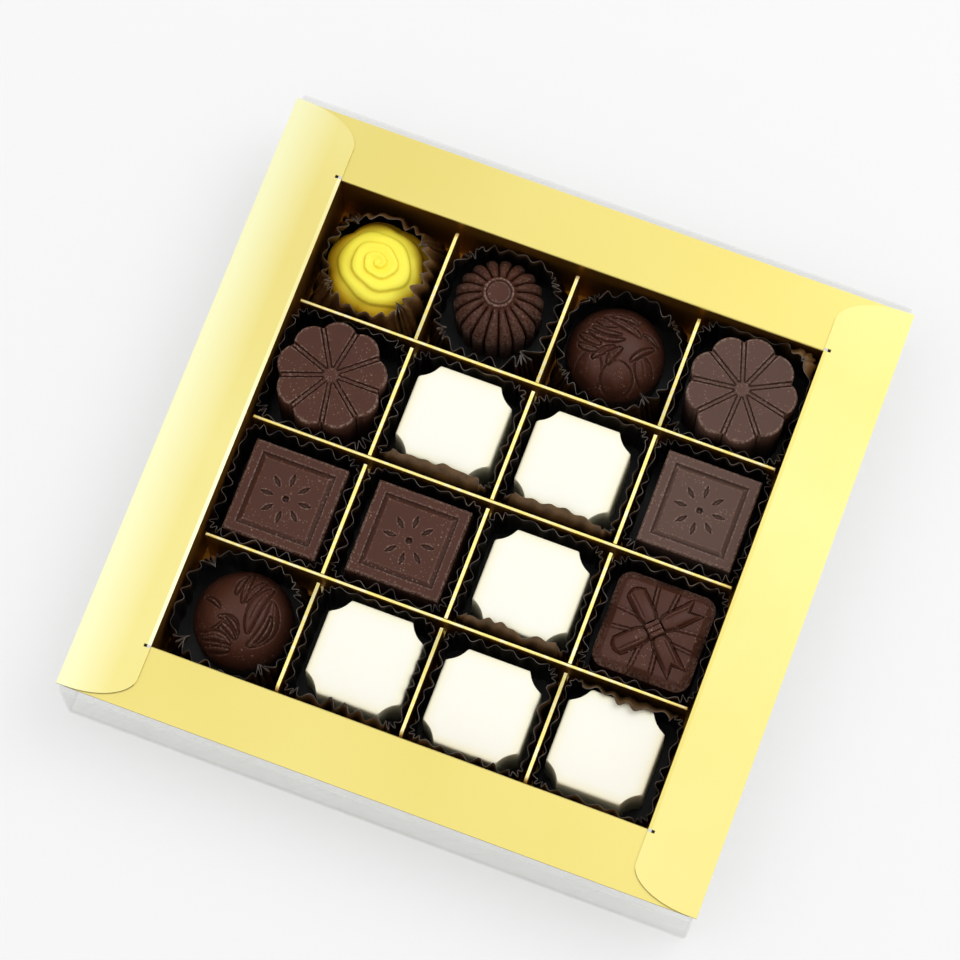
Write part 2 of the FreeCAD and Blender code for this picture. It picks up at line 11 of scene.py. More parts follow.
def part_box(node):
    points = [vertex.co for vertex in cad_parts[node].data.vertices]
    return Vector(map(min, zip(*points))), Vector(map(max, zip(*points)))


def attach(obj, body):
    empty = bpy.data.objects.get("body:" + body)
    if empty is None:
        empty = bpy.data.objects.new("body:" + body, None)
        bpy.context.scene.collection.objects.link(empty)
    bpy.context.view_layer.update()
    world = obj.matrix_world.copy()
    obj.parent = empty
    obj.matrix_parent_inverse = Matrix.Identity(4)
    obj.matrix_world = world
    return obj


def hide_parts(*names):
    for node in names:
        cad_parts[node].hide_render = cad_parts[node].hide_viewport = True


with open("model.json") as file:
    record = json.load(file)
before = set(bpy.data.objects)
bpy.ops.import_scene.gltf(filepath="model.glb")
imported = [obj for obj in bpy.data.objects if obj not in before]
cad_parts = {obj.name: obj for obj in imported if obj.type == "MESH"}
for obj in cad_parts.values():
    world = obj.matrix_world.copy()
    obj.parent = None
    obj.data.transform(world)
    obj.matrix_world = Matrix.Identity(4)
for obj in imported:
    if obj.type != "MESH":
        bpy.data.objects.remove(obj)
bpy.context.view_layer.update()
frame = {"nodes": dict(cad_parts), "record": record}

bl_info = {
    "name": "Chocolate box",
    "version": (1, 0, 0),
    "blender": (4, 5, 0),
    "location": "3D View > Sidebar > Chocolate box",
    "description": "Dresses a gold card tray of moulded chocolates in its clear base",
    "category": "Object",
}

MM = 0.001
NEAR = 0.01 * MM
BODIES = frame["record"]["behaviour"]["bodies"]


def length(name, description, millimetres):
    """A length property given in millimetres."""
    return FloatProperty(name=name, description=description, default=millimetres * MM, min=0.0, unit="LENGTH")


def count(name, description, number):
    """A whole-number property."""
    return IntProperty(name=name, description=description, default=number, min=1)


def colour(name, description, red, green, blue):
    """A colour property in linear light."""
    return FloatVectorProperty(
        name=name, description=description, subtype="COLOR", size=3, min=0.0, max=1.0,
        default=(red, green, blue),
    )


class ChocolateBoxSizes(bpy.types.PropertyGroup):
    """Sizes of the details that the frame leaves open."""

    crease_radius: length("Crease radius", "Rounding of the card where it is folded", 0.45)
    crease_band: length("Crease band", "Width of the band along the side rims' creases", 0.9)
    slot_length: length("Slot length", "Length of the relief slots at the well's corners", 1.7)
    slot_width: length("Slot width", "Width of the relief slots at the well's corners", 0.8)
    slot_depth: length("Slot depth", "Depth of the relief slots at the well's corners", 0.42)
    film_crease: length("Film crease", "Rounding of the clear base's folds", 0.9)
    strip_corner: length("Strip corner", "Rounding of the strips' upper corners", 1.4)
    strip_gap: length("Strip gap", "Gap in the long strips in front of each crossing", 1.5)
    paper: length("Paper", "Thickness of the cups' paper", 0.12)
    side_pleats: count("Side pleats", "Pleats along each side of a cup", 5)
    corner_pleats: count("Corner pleats", "Pleats round each corner of a cup", 3)
    pleat_depth: length("Pleat depth", "Depth of a pleat at the cup's brim", 2.0)
    cell_gap: length("Cell gap", "Gap between a cup's brim and its cell", 0.25)
    sweet_gap: length("Chocolate gap", "Gap between a cup's pleats and its chocolate", 0.2)
    flower_width: length("Flower width", "Width of the flowers over their petals", 27.6)
    notch_radius: length("Notch radius", "Radius of the white squares' scooped corners", 7.3)
    notch_offset: length("Notch offset", "How far the scoops' centres lie beyond the foot's corners", 1.8)
    bow_corner: length("Bow corner", "Rounding of the bow chocolate's corners", 4.0)


class ChocolateBoxColours(bpy.types.PropertyGroup):
    """Colours of the finishes, in linear light."""

    gold: colour("Gold", "Foil on the card", 0.65, 0.56, 0.185)
    gold_deep: colour("Deep gold", "Darker streaks of the foil", 0.62, 0.525, 0.15)
    # Painted reflection: the side rims' foil is paler than the tray's rims, and paler still towards the left
    # rim's outer edge, where the foil mirrors bright light.
    flap: colour("Flap", "Foil on the side rims", 0.69, 0.62, 0.25)
    pale: colour("Pale gold", "Foil towards the outer edge of the left rim", 0.73, 0.72, 0.43)
    # Painted shade: the well's inner faces and the strips' faces are foil darkened to orange-brown where
    # little light reaches.
    shaded: colour("Shaded gold", "Foil inside the well and on the strips", 0.46, 0.21, 0.03)
    # Painted highlight: the pale band along the left rim's crease stands for light caught by the rounded
    # fold.
    crease: colour("Crease", "Foil painted pale as a highlight along the left rim's crease", 0.95, 0.90, 0.62)
    card: colour("Card", "Cut edges of the tray's card", 0.20, 0.11, 0.03)
    torn: colour("Plain card", "Back of the card and torn card at the well's corners", 0.82, 0.80, 0.72)
    cream: colour("Cream", "Cut edges of the divider strips", 1.0, 0.82, 0.22)
    film: colour("Film", "Clear film of the base", 0.70, 0.74, 0.66)
    film_haze: colour("Film haze", "Hazier streaks of the clear film", 0.82, 0.84, 0.78)
    paper: colour("Paper", "Dark paper of the cups", 0.006, 0.0045, 0.004)
    tan: colour("Tan", "Cup paper where light comes through it", 0.15, 0.078, 0.026)
    # The brim colour is the paper's cut edge, lightened in places as painted glints.
    brim: colour("Brim", "Cut edge of the cups' paper", 0.15, 0.13, 0.115)
    dark: colour("Dark chocolate", "Body of the dark chocolates", 0.055, 0.0185, 0.0105)
    dusty: colour("Dusty chocolate", "Dark chocolates under a haze of bloom", 0.135, 0.088, 0.072)
    bloom: colour("Bloom", "Pale bloom and worn edges of the dark chocolates", 0.34, 0.24, 0.19)
    white: colour("White chocolate", "Body of the white chocolates", 0.97, 0.96, 0.87)
    # Painted shade: the white chocolates' edges and sides are ivory where they turn from the light.
    ivory: colour("Ivory", "Edges and sides of the white chocolates", 0.95, 0.88, 0.50)
    yellow: colour("Yellow", "Petals of the rose", 1.0, 0.90, 0.07)
    # Painted shade: the rose is amber in its folds and round its edge, where less light reaches.
    amber: colour("Amber", "Folds and outer edges of the rose's petals", 1.0, 0.52, 0.005)


def sizes():
    return bpy.context.scene.chocolate_box_sizes


def colours():
    return bpy.context.scene.chocolate_box_colours


# Shader nodes


class Value:
    """The value of a shader socket. Sums with it add Math nodes to its tree."""

    def __init__(self, shading, socket):
        self.shading = shading
        self.socket = socket

    def maths(self, operation, other):
        return self.shading.node("Math", {"operation": operation}, {0: self, 1: other})

    def __add__(self, other):
        return self.maths("ADD", other)

    def __mul__(self, other):
        return self.maths("MULTIPLY", other)

    __radd__ = __add__
    __rmul__ = __mul__

    def or_more(self, other):
        """The larger of two values."""
        return self.maths("MAXIMUM", other)

    def between(self, start, end):
        """Nought up to the start and one from the end on, with a straight ramp between."""
        return self.shading.node("MapRange", {"clamp": True}, {0: self, 1: start, 2: end})


class Shading:
    """A node tree in the making."""

    def __init__(self, tree):
        self.tree = tree

    def node(self, kind, settings=None, sockets=None, output=0):
        """Adds a node by type, settings and the values or links of its sockets. Gives one output."""
        made = self.tree.nodes.new("ShaderNode" + kind)
        for key, setting in (settings or {}).items():
            setattr(made, key, setting)
        for key, value in (sockets or {}).items():
            self.feed(made.inputs[key], value)
        return Value(self, made.outputs[output])

    def feed(self, socket, value):
        """Links a value to a socket, or sets the socket to a constant."""
        if isinstance(value, Value):
            self.tree.links.new(value.socket, socket)
        else:
            socket.default_value = value


class Finish(Shading):
    """A material in the making, with one Principled shader."""

    def __init__(self, name, **constants):
        self.material = bpy.data.materials.new(name)
        self.material.use_nodes = True
        super().__init__(self.material.node_tree)
        self.shader = self.tree.nodes["Principled BSDF"]
        self.spot = self.node("TexCoord", output="Object")
        self.set(**constants)

    def set(self, **sockets):
        for key, value in sockets.items():
            self.feed(self.shader.inputs[key.replace("_", " ")], value)

    def speckle(self, scale, detail=2.0, stretch=(1.0, 1.0, 1.0)):
        """Soft noise from nought to one, with features of about one over the scale in metres."""
        spot = self.node("Mapping", None, {"Vector": self.spot, "Scale": stretch})
        return self.node("TexNoise", None, {"Vector": spot, "Scale": scale, "Detail": detail})

    def dots(self, scale):
        """Distance to the nearest of many scattered points, about one over the scale in metres apart."""
        sockets = {"Vector": self.spot, "Scale": scale}
        return self.node("TexVoronoi", {"feature": "F1"}, sockets, output="Distance")

    def attribute(self, name):
        return self.node("Attribute", {"attribute_name": name}, output="Fac")

    def mix(self, factor, first, second):
        """Goes from the first colour to the second as the factor goes from nought to one."""
        return self.node("Mix", {"data_type": "RGBA"}, {0: factor, 6: first, 7: second}, output=2)

    def bump(self, height, strength, millimetres):
        sockets = {"Height": height, "Strength": strength, "Distance": millimetres * MM}
        self.set(Normal=self.node("Bump", None, sockets))


def tint(name, share=1.0):
    """A colour by its property's name, darker for a share below one."""
    return (*[part * share for part in getattr(colours(), name)], 1.0)


# Finishes

# Where the painted reflection on the left rim fades in, from its start to its full share.
PALE_START = -68.0 * MM
PALE_END = -79.0 * MM
CHOCOLATE_IOR = 1.45


def foil_finish(name, main, deep, outer=None):
    """Satin foil with broad streaks and a fine grain, which may pass to a paler painted reflection towards
    the left.
    """
    foil = Finish(name, Metallic=1.0)
    streak = foil.speckle(14.0, 3.0, (1.0, 1.0, 0.2))
    grain = foil.speckle(2500.0)
    shade = foil.mix(streak.between(0.35, 0.7), main, deep)
    if outer is not None:
        across = foil.node("SeparateXYZ", None, {0: foil.spot}, output="X")
        shade = foil.mix(across.between(PALE_START, PALE_END), shade, outer)
    foil.set(Base_Color=shade, Roughness=0.36 + 0.12 * grain)
    foil.bump(grain, 0.15, 0.05)
    return foil.material


def gold_finish():
    return foil_finish("gold_foil", tint("gold"), tint("gold_deep"))


# Side rims: a paler foil, with a painted reflection fading in towards the left rim's outer edge.
def flap_finish():
    return foil_finish("side_rim_foil", tint("flap"), tint("gold"), tint("pale"))


# Foil darkened as painted shade, for the well's inner faces and the divider strips.
def shaded_finish():
    return foil_finish("well_foil", tint("shaded"), tint("shaded", 0.7))


# A painted highlight along the left rim's crease, passing to the side rims' foil.
def crease_finish():
    return foil_finish("worn_crease", tint("crease"), tint("flap"))


def plain_finish(name, colour_name, roughness):
    """A matt finish with a fine grain of a colour."""
    plain = Finish(name, Roughness=roughness)
    fibre = plain.speckle(1500.0, 3.0)
    plain.set(Base_Color=plain.mix(fibre, tint(colour_name), tint(colour_name, 0.7)))
    return plain.material


def card_finish():
    return plain_finish("cut_card", "card", 0.8)


def torn_finish():
    return plain_finish("torn_card", "torn", 0.9)


def slot_finish():
    return plain_finish("slot_shade", "paper", 0.9)


def brim_finish():
    """The cut edge of the paper, with painted glints where it catches the light in places."""
    brim = Finish("cut_paper", Roughness=0.6)
    catch = brim.speckle(320.0, 3.0)
    brim.set(Base_Color=brim.mix(catch.between(0.40, 0.62), tint("paper"), tint("brim")))
    return brim.material


def cream_finish():
    """The cut edge of foil-faced card."""
    card = Finish("cut_cream_card", Roughness=0.45, Metallic=0.35)
    fibre = card.speckle(900.0, 3.0)
    card.set(Base_Color=card.mix(fibre.between(0.45, 0.7), tint("cream"), tint("crease")))
    return card.material


def film_finish():
    """Clear film, nearly see-through and glossy."""
    film = Finish("clear_film", Roughness=0.08, IOR=1.5)
    haze = film.speckle(40.0)
    film.set(Base_Color=film.mix(haze, tint("film"), tint("film_haze")), Alpha=0.10 + 0.08 * haze)
    return film.material


def paper_finish():
    """Thin dark paper with a soft gloss, with painted light: tan where it leans over a chocolate and light
    would come through it.
    """
    paper = Finish("cup_paper", Roughness=0.34, Specular_IOR_Level=0.2)
    fibre = paper.speckle(500.0, 4.0)
    tan = paper.mix(fibre.between(0.3, 0.75), tint("tan"), tint("tan", 0.45))
    # The lean attribute holds the painted light through the paper.
    paper.set(Base_Color=paper.mix(paper.attribute("lean"), tint("paper"), tan))
    paper.bump(fibre, 0.2, 0.1)
    return paper.material


def dark_finish():
    """Dark chocolate with worn pale edges, painted shade in its grooves, a haze on some and specks of bloom.
    """
    dark = Finish("dark_chocolate", IOR=CHOCOLATE_IOR, Specular_IOR_Level=0.22)
    cloud = dark.speckle(160.0, 3.0)
    speck = dark.speckle(1700.0)
    ridge = dark.attribute("ridge")
    groove = (-1.0 * ridge).between(0.1, 0.8)
    worn = (ridge.between(0.2, 0.9) * speck.between(0.40, 0.66)).between(0.0, 0.9)
    spots = dark.dots(620.0).between(0.17, 0.08) * cloud.between(0.40, 0.60)
    dust = dark.dots(1300.0).between(0.2, 0.1) * cloud.between(0.42, 0.56)
    body = dark.mix(cloud, tint("dark"), tint("dark", 1.4))
    body = dark.mix(dark.attribute("haze"), body, tint("dusty"))
    # Painted shade: the grooves and hollows are darkened.
    body = dark.mix(0.7 * groove, body, tint("dark", 0.3))
    bloom = (worn * 0.5 + (spots + dust) * 0.6).between(0.0, 1.0)
    dark.set(Base_Color=dark.mix(bloom, body, tint("bloom")), Roughness=0.34 + 0.2 * cloud)
    dark.bump(speck, 0.2, 0.1)
    return dark.material


def white_finish():
    """White chocolate, creamier on its edges and sides as painted shade."""
    white = Finish("white_chocolate", Roughness=0.5, IOR=CHOCOLATE_IOR)
    cream = white.attribute("side") * 0.9 + 0.1 * white.speckle(220.0, 3.0)
    white.set(Base_Color=white.mix(cream, tint("white"), tint("ivory")))
    white.bump(white.speckle(900.0), 0.1, 0.1)
    return white.material


def yellow_finish():
    """Yellow chocolate, with painted shade: amber in the folds and round the edge."""
    yellow = Finish("yellow_chocolate", Roughness=0.5, IOR=CHOCOLATE_IOR)
    # Folds and the outer edge get the amber painted shade.
    fold = (-1.0 * yellow.attribute("ridge")).between(0.05, 0.9)
    amber = (0.5 * fold + 0.9 * yellow.attribute("side")).between(0.0, 1.0)
    yellow.set(Base_Color=yellow.mix(amber, tint("yellow"), tint("amber")))
    yellow.bump(yellow.speckle(700.0), 0.1, 0.1)
    return yellow.material


MADE = {}


def finish(maker):
    """A finish by its maker, made once."""
    if maker not in MADE:
        MADE[maker] = maker()
    return MADE[maker]


# The frame's nodes

BOXES = {}


def box_of(node):
    """Lowest and highest corner of a node at rest, worked out once."""
    if node not in BOXES:
        BOXES[node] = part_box(node)
    return BOXES[node]


def body_of(node):
    return next(body for body, nodes in BODIES.items() if node in nodes)


def nodes_like(start):
    return sorted(node for node in frame["nodes"] if node.startswith(start))


def cell_of(node):
    """Row and column of a cup or chocolate, which end its name."""
    return node.split("_")[-1]


def node_size(node):
    """Width and height of a node."""
    low, high = box_of(node)
    return high[0] - low[0], high[2] - low[2]


def middle_of(node):
    low, high = box_of(node)
    return (Vector(low) + Vector(high)) / 2


def span(nodes):
    """Lowest and highest corner of several nodes."""
    boxes = [box_of(node) for node in nodes]
    low = Vector([min(box[0][axis] for box in boxes) for axis in range(3)])
    high = Vector([max(box[1][axis] for box in boxes) for axis in range(3)])
    return low, high


def copy_of(node):
    """The merged shape of a CAD node, with flat faces whole."""
    shape = bmesh.new()
    shape.from_mesh(frame["nodes"][node].data)
    bmesh.ops.remove_doubles(shape, verts=shape.verts, dist=1e-6)
    bmesh.ops.dissolve_limit(shape, angle_limit=math.radians(1.0), verts=shape.verts, edges=shape.edges)
    return shape


# Shapes

RIDGE_STEP = 0.4 * MM


def mesh_of(name, shape, finishes):
    mesh = bpy.data.meshes.new(name)
    shape.to_mesh(mesh)
    shape.free()
    for made in finishes:
        mesh.materials.append(made)
    return mesh


def add_object(name, data):
    thing = bpy.data.objects.new(name, data)
    bpy.context.scene.collection.objects.link(thing)
    return thing


def piece(name, shape, finishes, body, nodes, sharp=35.0, flat=False):
    """Makes a shape an object that stands for its nodes and moves with its body.

    Edges sharper than the angle in degrees stay sharp. A flat piece's large faces are shaded evenly.
    """
    mesh = mesh_of(name, shape, finishes)
    mesh.shade_smooth()
    mesh.set_sharp_from_angle(angle=math.radians(sharp))
    thing = add_object(name, mesh)
    if flat:
        even = thing.modifiers.new("even_faces", "WEIGHTED_NORMAL")
        even.weight = 100
        even.keep_sharp = True
    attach(thing, body)
    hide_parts(*nodes)
    return thing


def add_plate(shape, low, high):
    """A box between two corners. Gives its vertices."""
    low, high = Vector(low), Vector(high)
    place = Matrix.Translation((low + high) / 2) @ Matrix.Diagonal((*(high - low), 1.0))
    return bmesh.ops.create_cube(shape, size=1.0, matrix=place)["verts"]


def edges_among(shape, verts):
    """Edges with both ends among some vertices."""
    return [edge for edge in shape.edges if set(edge.verts) <= verts]


def looks_up(face):
    return face.normal.z > 0.9


def looks_down(face):
    return face.normal.z < -0.9


def stands(face):
    return abs(face.normal.z) < 0.1


def round_off(shape, edges, radius, segments):
    bmesh.ops.bevel(
        shape, geom=edges, offset=radius, offset_type="OFFSET", affect="EDGES", segments=segments,
        profile=0.5, material=-1, clamp_overlap=True,
    )


def round_crease(shape, verts, axis, box):
    """Rounds a rim's upper edge beside the well. Gives the edge's distance from the middle along an axis."""
    low, high = box
    inner = min(abs(low[axis]), abs(high[axis]))
    nose = {
        vert for vert in verts
        if abs(abs(vert.co[axis]) - inner) < NEAR and vert.co.z > high[2] - NEAR
    }
    round_off(shape, edges_among(shape, nose), sizes().crease_radius, 4)
    return inner


def grow_rim(shape, rim):
    """Extrudes a rim of edges in place. Gives the new vertices and the new rim."""
    grown = bmesh.ops.extrude_edge_only(shape, edges=rim)["geom"]
    verts = [part for part in grown if isinstance(part, bmesh.types.BMVert)]
    fresh = set(verts)
    edges = [part for part in grown if isinstance(part, bmesh.types.BMEdge) and set(part.verts) <= fresh]
    return verts, edges


def spun_blank(profile, rings, spokes):
    """Turns a profile of radius and height round Z, its last run, to the middle, in many rings."""
    shape = bmesh.new()
    verts = [shape.verts.new((radius, 0.0, height)) for radius, height in profile]
    edges = [shape.edges.new(pair) for pair in zip(verts, verts[1:])]
    bmesh.ops.subdivide_edges(shape, edges=edges[-1:], cuts=rings)
    bmesh.ops.spin(
        shape, geom=shape.verts[:] + shape.edges[:], cent=(0, 0, 0), axis=(0, 0, 1), angle=2 * math.pi,
        steps=spokes, use_merge=True,
    )
    bmesh.ops.remove_doubles(shape, verts=shape.verts, dist=1e-7)
    bmesh.ops.recalc_face_normals(shape, faces=shape.faces)
    return shape


def smooth(shape, verts, axes):
    """Moves vertices halfway to the middle of their neighbours, along some axes."""
    along = {"use_axis_" + axis: axis in axes for axis in "xyz"}
    bmesh.ops.smooth_vert(shape, verts=verts, factor=0.5, **along)


def bearing(vert):
    """Distance of a vertex from the Z axis, and its angle round it."""
    return vert.co.xy.length, math.atan2(vert.co.y, vert.co.x)


def widen(vert, share):
    """Moves a vertex away from the Z axis, or towards it for shares below one."""
    vert.co.x *= share
    vert.co.y *= share


def off_petal(angle, petals):
    """Angle from the middle of the nearest of some even petals."""
    step = 2 * math.pi / petals
    return (angle + step / 2) % step - step / 2


def smoothstep(low, high, value):
    share = min(1.0, max(0.0, (value - low) / (high - low)))
    return share * share * (3.0 - 2.0 * share)


def line_cut(distance, width):
    """Depth of a rounded line, one in its middle and nought from half its width on."""
    share = abs(distance) / (width / 2)
    return max(0.0, 1.0 - share * share)


def mark_ridges(shape, reach):
    """Stores how far each vertex stands out from its neighbours, from -1 in folds to 1 on ridges."""
    layer = shape.verts.layers.float.new("ridge")
    shape.normal_update()
    values = {}
    for vert in shape.verts:
        around = [edge.other_vert(vert).co - vert.co for edge in vert.link_edges]
        near = [step * min(1.0, RIDGE_STEP / step.length) for step in around if step.length > 0.0]
        stand = -sum(near, Vector()).dot(vert.normal) / len(near) / reach
        values[vert] = stand if vert.co.z > RIDGE_STEP else 0.0
    for vert, value in values.items():
        around = [values[edge.other_vert(vert)] for edge in vert.link_edges]
        vert[layer] = max(-1.0, min(1.0, (value + sum(around)) / (1 + len(around)) * 2.0))


class ChocolateBoxPiece:
    """What the operators share."""

    bl_options = {"REGISTER", "UNDO"}


# Packaging


class OBJECT_OT_clear_base(ChocolateBoxPiece, bpy.types.Operator):
    """Folds the clear base from one sheet of film"""

    bl_idname = "object.chocolate_box_clear_base"
    bl_label = "Clear base"

    def execute(self, context):
        nodes = BODIES["base"]
        shape = bmesh.new()
        add_plate(shape, *span(nodes))
        bmesh.ops.delete(shape, geom=[face for face in shape.faces if looks_up(face)], context="FACES_ONLY")
        folds = [edge for edge in shape.edges if not edge.is_boundary]
        round_off(shape, folds, sizes().film_crease, 3)
        bmesh.ops.recalc_face_normals(shape, faces=shape.faces)
        bmesh.ops.solidify(shape, geom=shape.faces[:], thickness=node_size("base_floor")[1])
        piece("clear_base", shape, [finish(film_finish)], "base", nodes)
        return {"FINISHED"}


class OBJECT_OT_gold_tray(ChocolateBoxPiece, bpy.types.Operator):
    """Folds the gold tray: floor, walls and the rims at the front and back"""

    bl_idname = "object.chocolate_box_gold_tray"
    bl_label = "Gold tray"

    FINISHES = (gold_finish, card_finish, shaded_finish, torn_finish)
    FOIL, CUT, SHADED, PLAIN = range(4)

    def execute(self, context):
        nodes = BODIES["tray"]
        shape = bmesh.new()
        for node in nodes:
            verts = add_plate(shape, *box_of(node))
            if node.endswith("_rim"):
                round_crease(shape, verts, 1, box_of(node))
        shape.normal_update()
        for face in shape.faces:
            face.material_index = self.finish_of(face)
        finishes = [finish(maker) for maker in self.FINISHES]
        piece("gold_tray", shape, finishes, "tray", nodes, flat=True)
        return {"FINISHED"}

    def finish_of(self, face):
        well = max(box_of("tray_right_wall")[1][0], box_of("tray_back_wall")[1][1])
        middle = face.calc_center_median()
        outside = stands(face) and face.normal.xy.dot(middle.xy) > 0.0
        if stands(face) and max(abs(middle.x), abs(middle.y)) > well + 0.1 * MM:
            return self.CUT
        if looks_down(face) or outside:
            return self.PLAIN
        # Faces below the rims, inside the well, get the painted shade.
        if middle.z < box_of("back_rim")[0][2]:
            return self.SHADED
        return self.FOIL


class OBJECT_OT_rim_flaps(ChocolateBoxPiece, bpy.types.Operator):
    """Cuts the side rims with their rounded ears"""

    bl_idname = "object.chocolate_box_rim_flaps"
    bl_label = "Rim flaps"

    # The left crease band is a painted highlight; the right one is painted with the deeper tray gold as a
    # darker reflection.
    BANDS = {"left_rim": crease_finish, "right_rim": gold_finish}
    FOIL, CUT, CREASE, PLAIN, SLOT = range(5)

    def execute(self, context):
        for node, band_finish in self.BANDS.items():
            shape = copy_of(node)
            inner = round_crease(shape, shape.verts, 0, box_of(node))
            self.score(shape, math.copysign(1.0, box_of(node)[0][0]), inner)
            shape.normal_update()
            for face in shape.faces:
                face.material_index = self.finish_of(face, inner)
            self.cut_slots(shape, inner)
            makers = (flap_finish, card_finish, band_finish, torn_finish, slot_finish)
            finishes = [finish(maker) for maker in makers]
            piece("gold_" + node, shape, finishes, node, [node], flat=True)
        return {"FINISHED"}

    def slot_ends(self):
        """Nearest and farthest reach of the relief slots along the rim."""
        well = box_of("tray_back_wall")[0][1]
        return well, well + sizes().slot_width

    def score(self, shape, side, inner):
        """Cuts the faces along the crease's band and round the relief slots."""
        planes = []
        for reach in (sizes().crease_band, sizes().slot_length):
            planes.append(((side * (inner + reach), 0, 0), (1, 0, 0)))
        for end in (-1, 1):
            for reach in self.slot_ends():
                planes.append(((0, end * reach, 0), (0, 1, 0)))
        for spot, normal in planes:
            geometry = shape.verts[:] + shape.edges[:] + shape.faces[:]
            bmesh.ops.bisect_plane(shape, geom=geometry, dist=1e-7, plane_co=spot, plane_no=normal)

    def finish_of(self, face, inner):
        start, end = self.slot_ends()
        middle = face.calc_center_median()
        reach = abs(middle.x) - inner
        beside_slot = start < abs(middle.y) < end and reach < sizes().crease_band
        if looks_down(face) or beside_slot:
            return self.PLAIN
        if reach < sizes().crease_band and abs(middle.y) < start:
            return self.CREASE
        if stands(face) and reach > sizes().crease_radius:
            return self.CUT
        return self.FOIL

    def cut_slots(self, shape, inner):
        """Sinks the relief slots at the ends of the crease."""
        start, end = self.slot_ends()
        for face in shape.faces[:]:
            middle = face.calc_center_median()
            inside = sizes().crease_band < abs(middle.x) - inner < sizes().slot_length
            if looks_up(face) and inside and start < abs(middle.y) < end:
                sunk = bmesh.ops.extrude_discrete_faces(shape, faces=[face])["faces"][0]
                bmesh.ops.translate(shape, vec=(0, 0, -sizes().slot_depth), verts=sunk.verts)
                sunk.material_index = self.SLOT


class OBJECT_OT_dividers(ChocolateBoxPiece, bpy.types.Operator):
    """Cuts the slotted divider strips"""

    bl_idname = "object.chocolate_box_dividers"
    bl_label = "Divider strips"

    FOIL, CUT = range(2)

    def execute(self, context):
        for node in nodes_like("divider_"):
            low, high = box_of(node)
            shape = copy_of(node)
            self.round_corners(shape, max(abs(low[0]), abs(low[1])), high[2])
            if node.startswith("divider_along"):
                self.widen_slots(shape)
            shape.normal_update()
            thin = 0 if high[0] - low[0] < high[1] - low[1] else 1
            for face in shape.faces:
                # The strips' broad faces get the foil darkened as painted shade; their cut edges stay cream.
                face.material_index = self.FOIL if abs(face.normal[thin]) > 0.9 else self.CUT
            finishes = [finish(shaded_finish), finish(cream_finish)]
            piece("card_" + node, shape, finishes, body_of(node), [node])
        return {"FINISHED"}

    def round_corners(self, shape, reach, top):
        """Rounds a strip's upper corners."""
        ends = {
            vert for vert in shape.verts
            if max(abs(vert.co.x), abs(vert.co.y)) > reach - NEAR and vert.co.z > top - NEAR
        }
        round_off(shape, edges_among(shape, ends), sizes().strip_corner, 4)

    def widen_slots(self, shape):
        """Opens a long strip's slots towards the front of the box."""
        fronts = [box_of(node)[0][1] for node in nodes_like("divider_across")]
        sides = [vert for vert in shape.verts if any(0.0 <= front - vert.co.y < MM for front in fronts)]
        bmesh.ops.translate(shape, vec=(0, -sizes().strip_gap, 0), verts=sides)


# Paper cups. How far each brim leans in over its chocolate, in millimetres, at the back, left, front
# and right, how ragged it is there, the radius it is gathered in to, if any, and how much light
# comes through it.

BRIMS = {
    "r1c1": ((1.8, 0.5, 0.5, 1.8), 1.0, 14.2, 1.0),
    "r1c2": ((0.2, 0.2, 0.2, 0.2), 0.8, 16.2, 0.2),
    "r1c3": ((0.2, 0.2, 0.2, 0.2), 0.8, 15.6, 0.2),
    "r1c4": ((1.2, 0.0, 0.4, 0.6), 0.4, 0.0, 1.0),
    "r2c2": ((0.4, 0.0, 2.9, 0.9), 0.3, 0.0, 1.0),
    "r2c3": ((0.2, 0.0, 3.1, 0.9), 0.3, 0.0, 1.0),
    "r3c3": ((0.2, 0.0, 2.8, 1.0), 0.3, 0.0, 1.0),
    "r4c1": ((0.2, 0.2, 0.2, 0.2), 0.8, 16.2, 0.2),
    "r4c2": ((0.2, 0.4, 1.8, 0.9), 1.0, 0.0, 0.3),
    "r4c3": ((0.4, 0.8, 1.5, 1.2), 0.7, 0.0, 0.5),
    "r4c4": ((2.6, 0.4, 1.3, 0.6), 0.5, 0.0, 0.8),
}
UPRIGHT = ((0.3, 0.2, 0.4, 0.3), 0.8, 0.0, 0.3)
RAISED_CORNER = "r1c4"
RAISED_LEAN = 6.0
RAISED_HEIGHT = 4.0
ROUND_KINDS = ("rose", "daisy", "leaf_dome", "flower")
PLEAT_POINTS = 8
PLEAT_SPREAD = (0.3, 1.15)
CUP_LEVELS = 10
CUP_CORNER = 0.27
CUP_SEED = 16
FOOT_INSET = 0.5 * MM
RIM_CLEARANCE = 0.3 * MM
BEND_DEPTH = 2.5 * MM
BEND_LENGTH = 4.0 * MM


def cup_plan(share):
    """Point and outward direction on a rounded square of half-width one, a share of the way round."""
    pleats = sizes().side_pleats + sizes().corner_pleats
    along = share * 4 * pleats + sizes().side_pleats / 2
    side = int(along // pleats)
    along -= side * pleats
    if along <= sizes().side_pleats:
        run = (along / sizes().side_pleats - 0.5) * 2 * (1 - CUP_CORNER)
        spot, out = Vector((1.0, run, 0.0)), Vector((1.0, 0.0, 0.0))
    else:
        angle = (along - sizes().side_pleats) / sizes().corner_pleats * math.pi / 2
        out = Vector((math.cos(angle), math.sin(angle), 0.0))
        spot = Vector((1 - CUP_CORNER, 1 - CUP_CORNER, 0.0)) + CUP_CORNER * out
    turn = Matrix.Rotation(side * math.pi / 2, 3, "Z")
    return turn @ spot, turn @ out


def cup_blank(segments):
    """A drum with a floor, its levels one unit apart."""
    shape = bmesh.new()
    bmesh.ops.create_circle(shape, cap_ends=True, segments=segments, radius=1.0)
    rim = shape.edges[:]
    for level in range(CUP_LEVELS):
        verts, rim = grow_rim(shape, rim)
        bmesh.ops.translate(shape, vec=(0, 0, 1), verts=verts)
    return shape


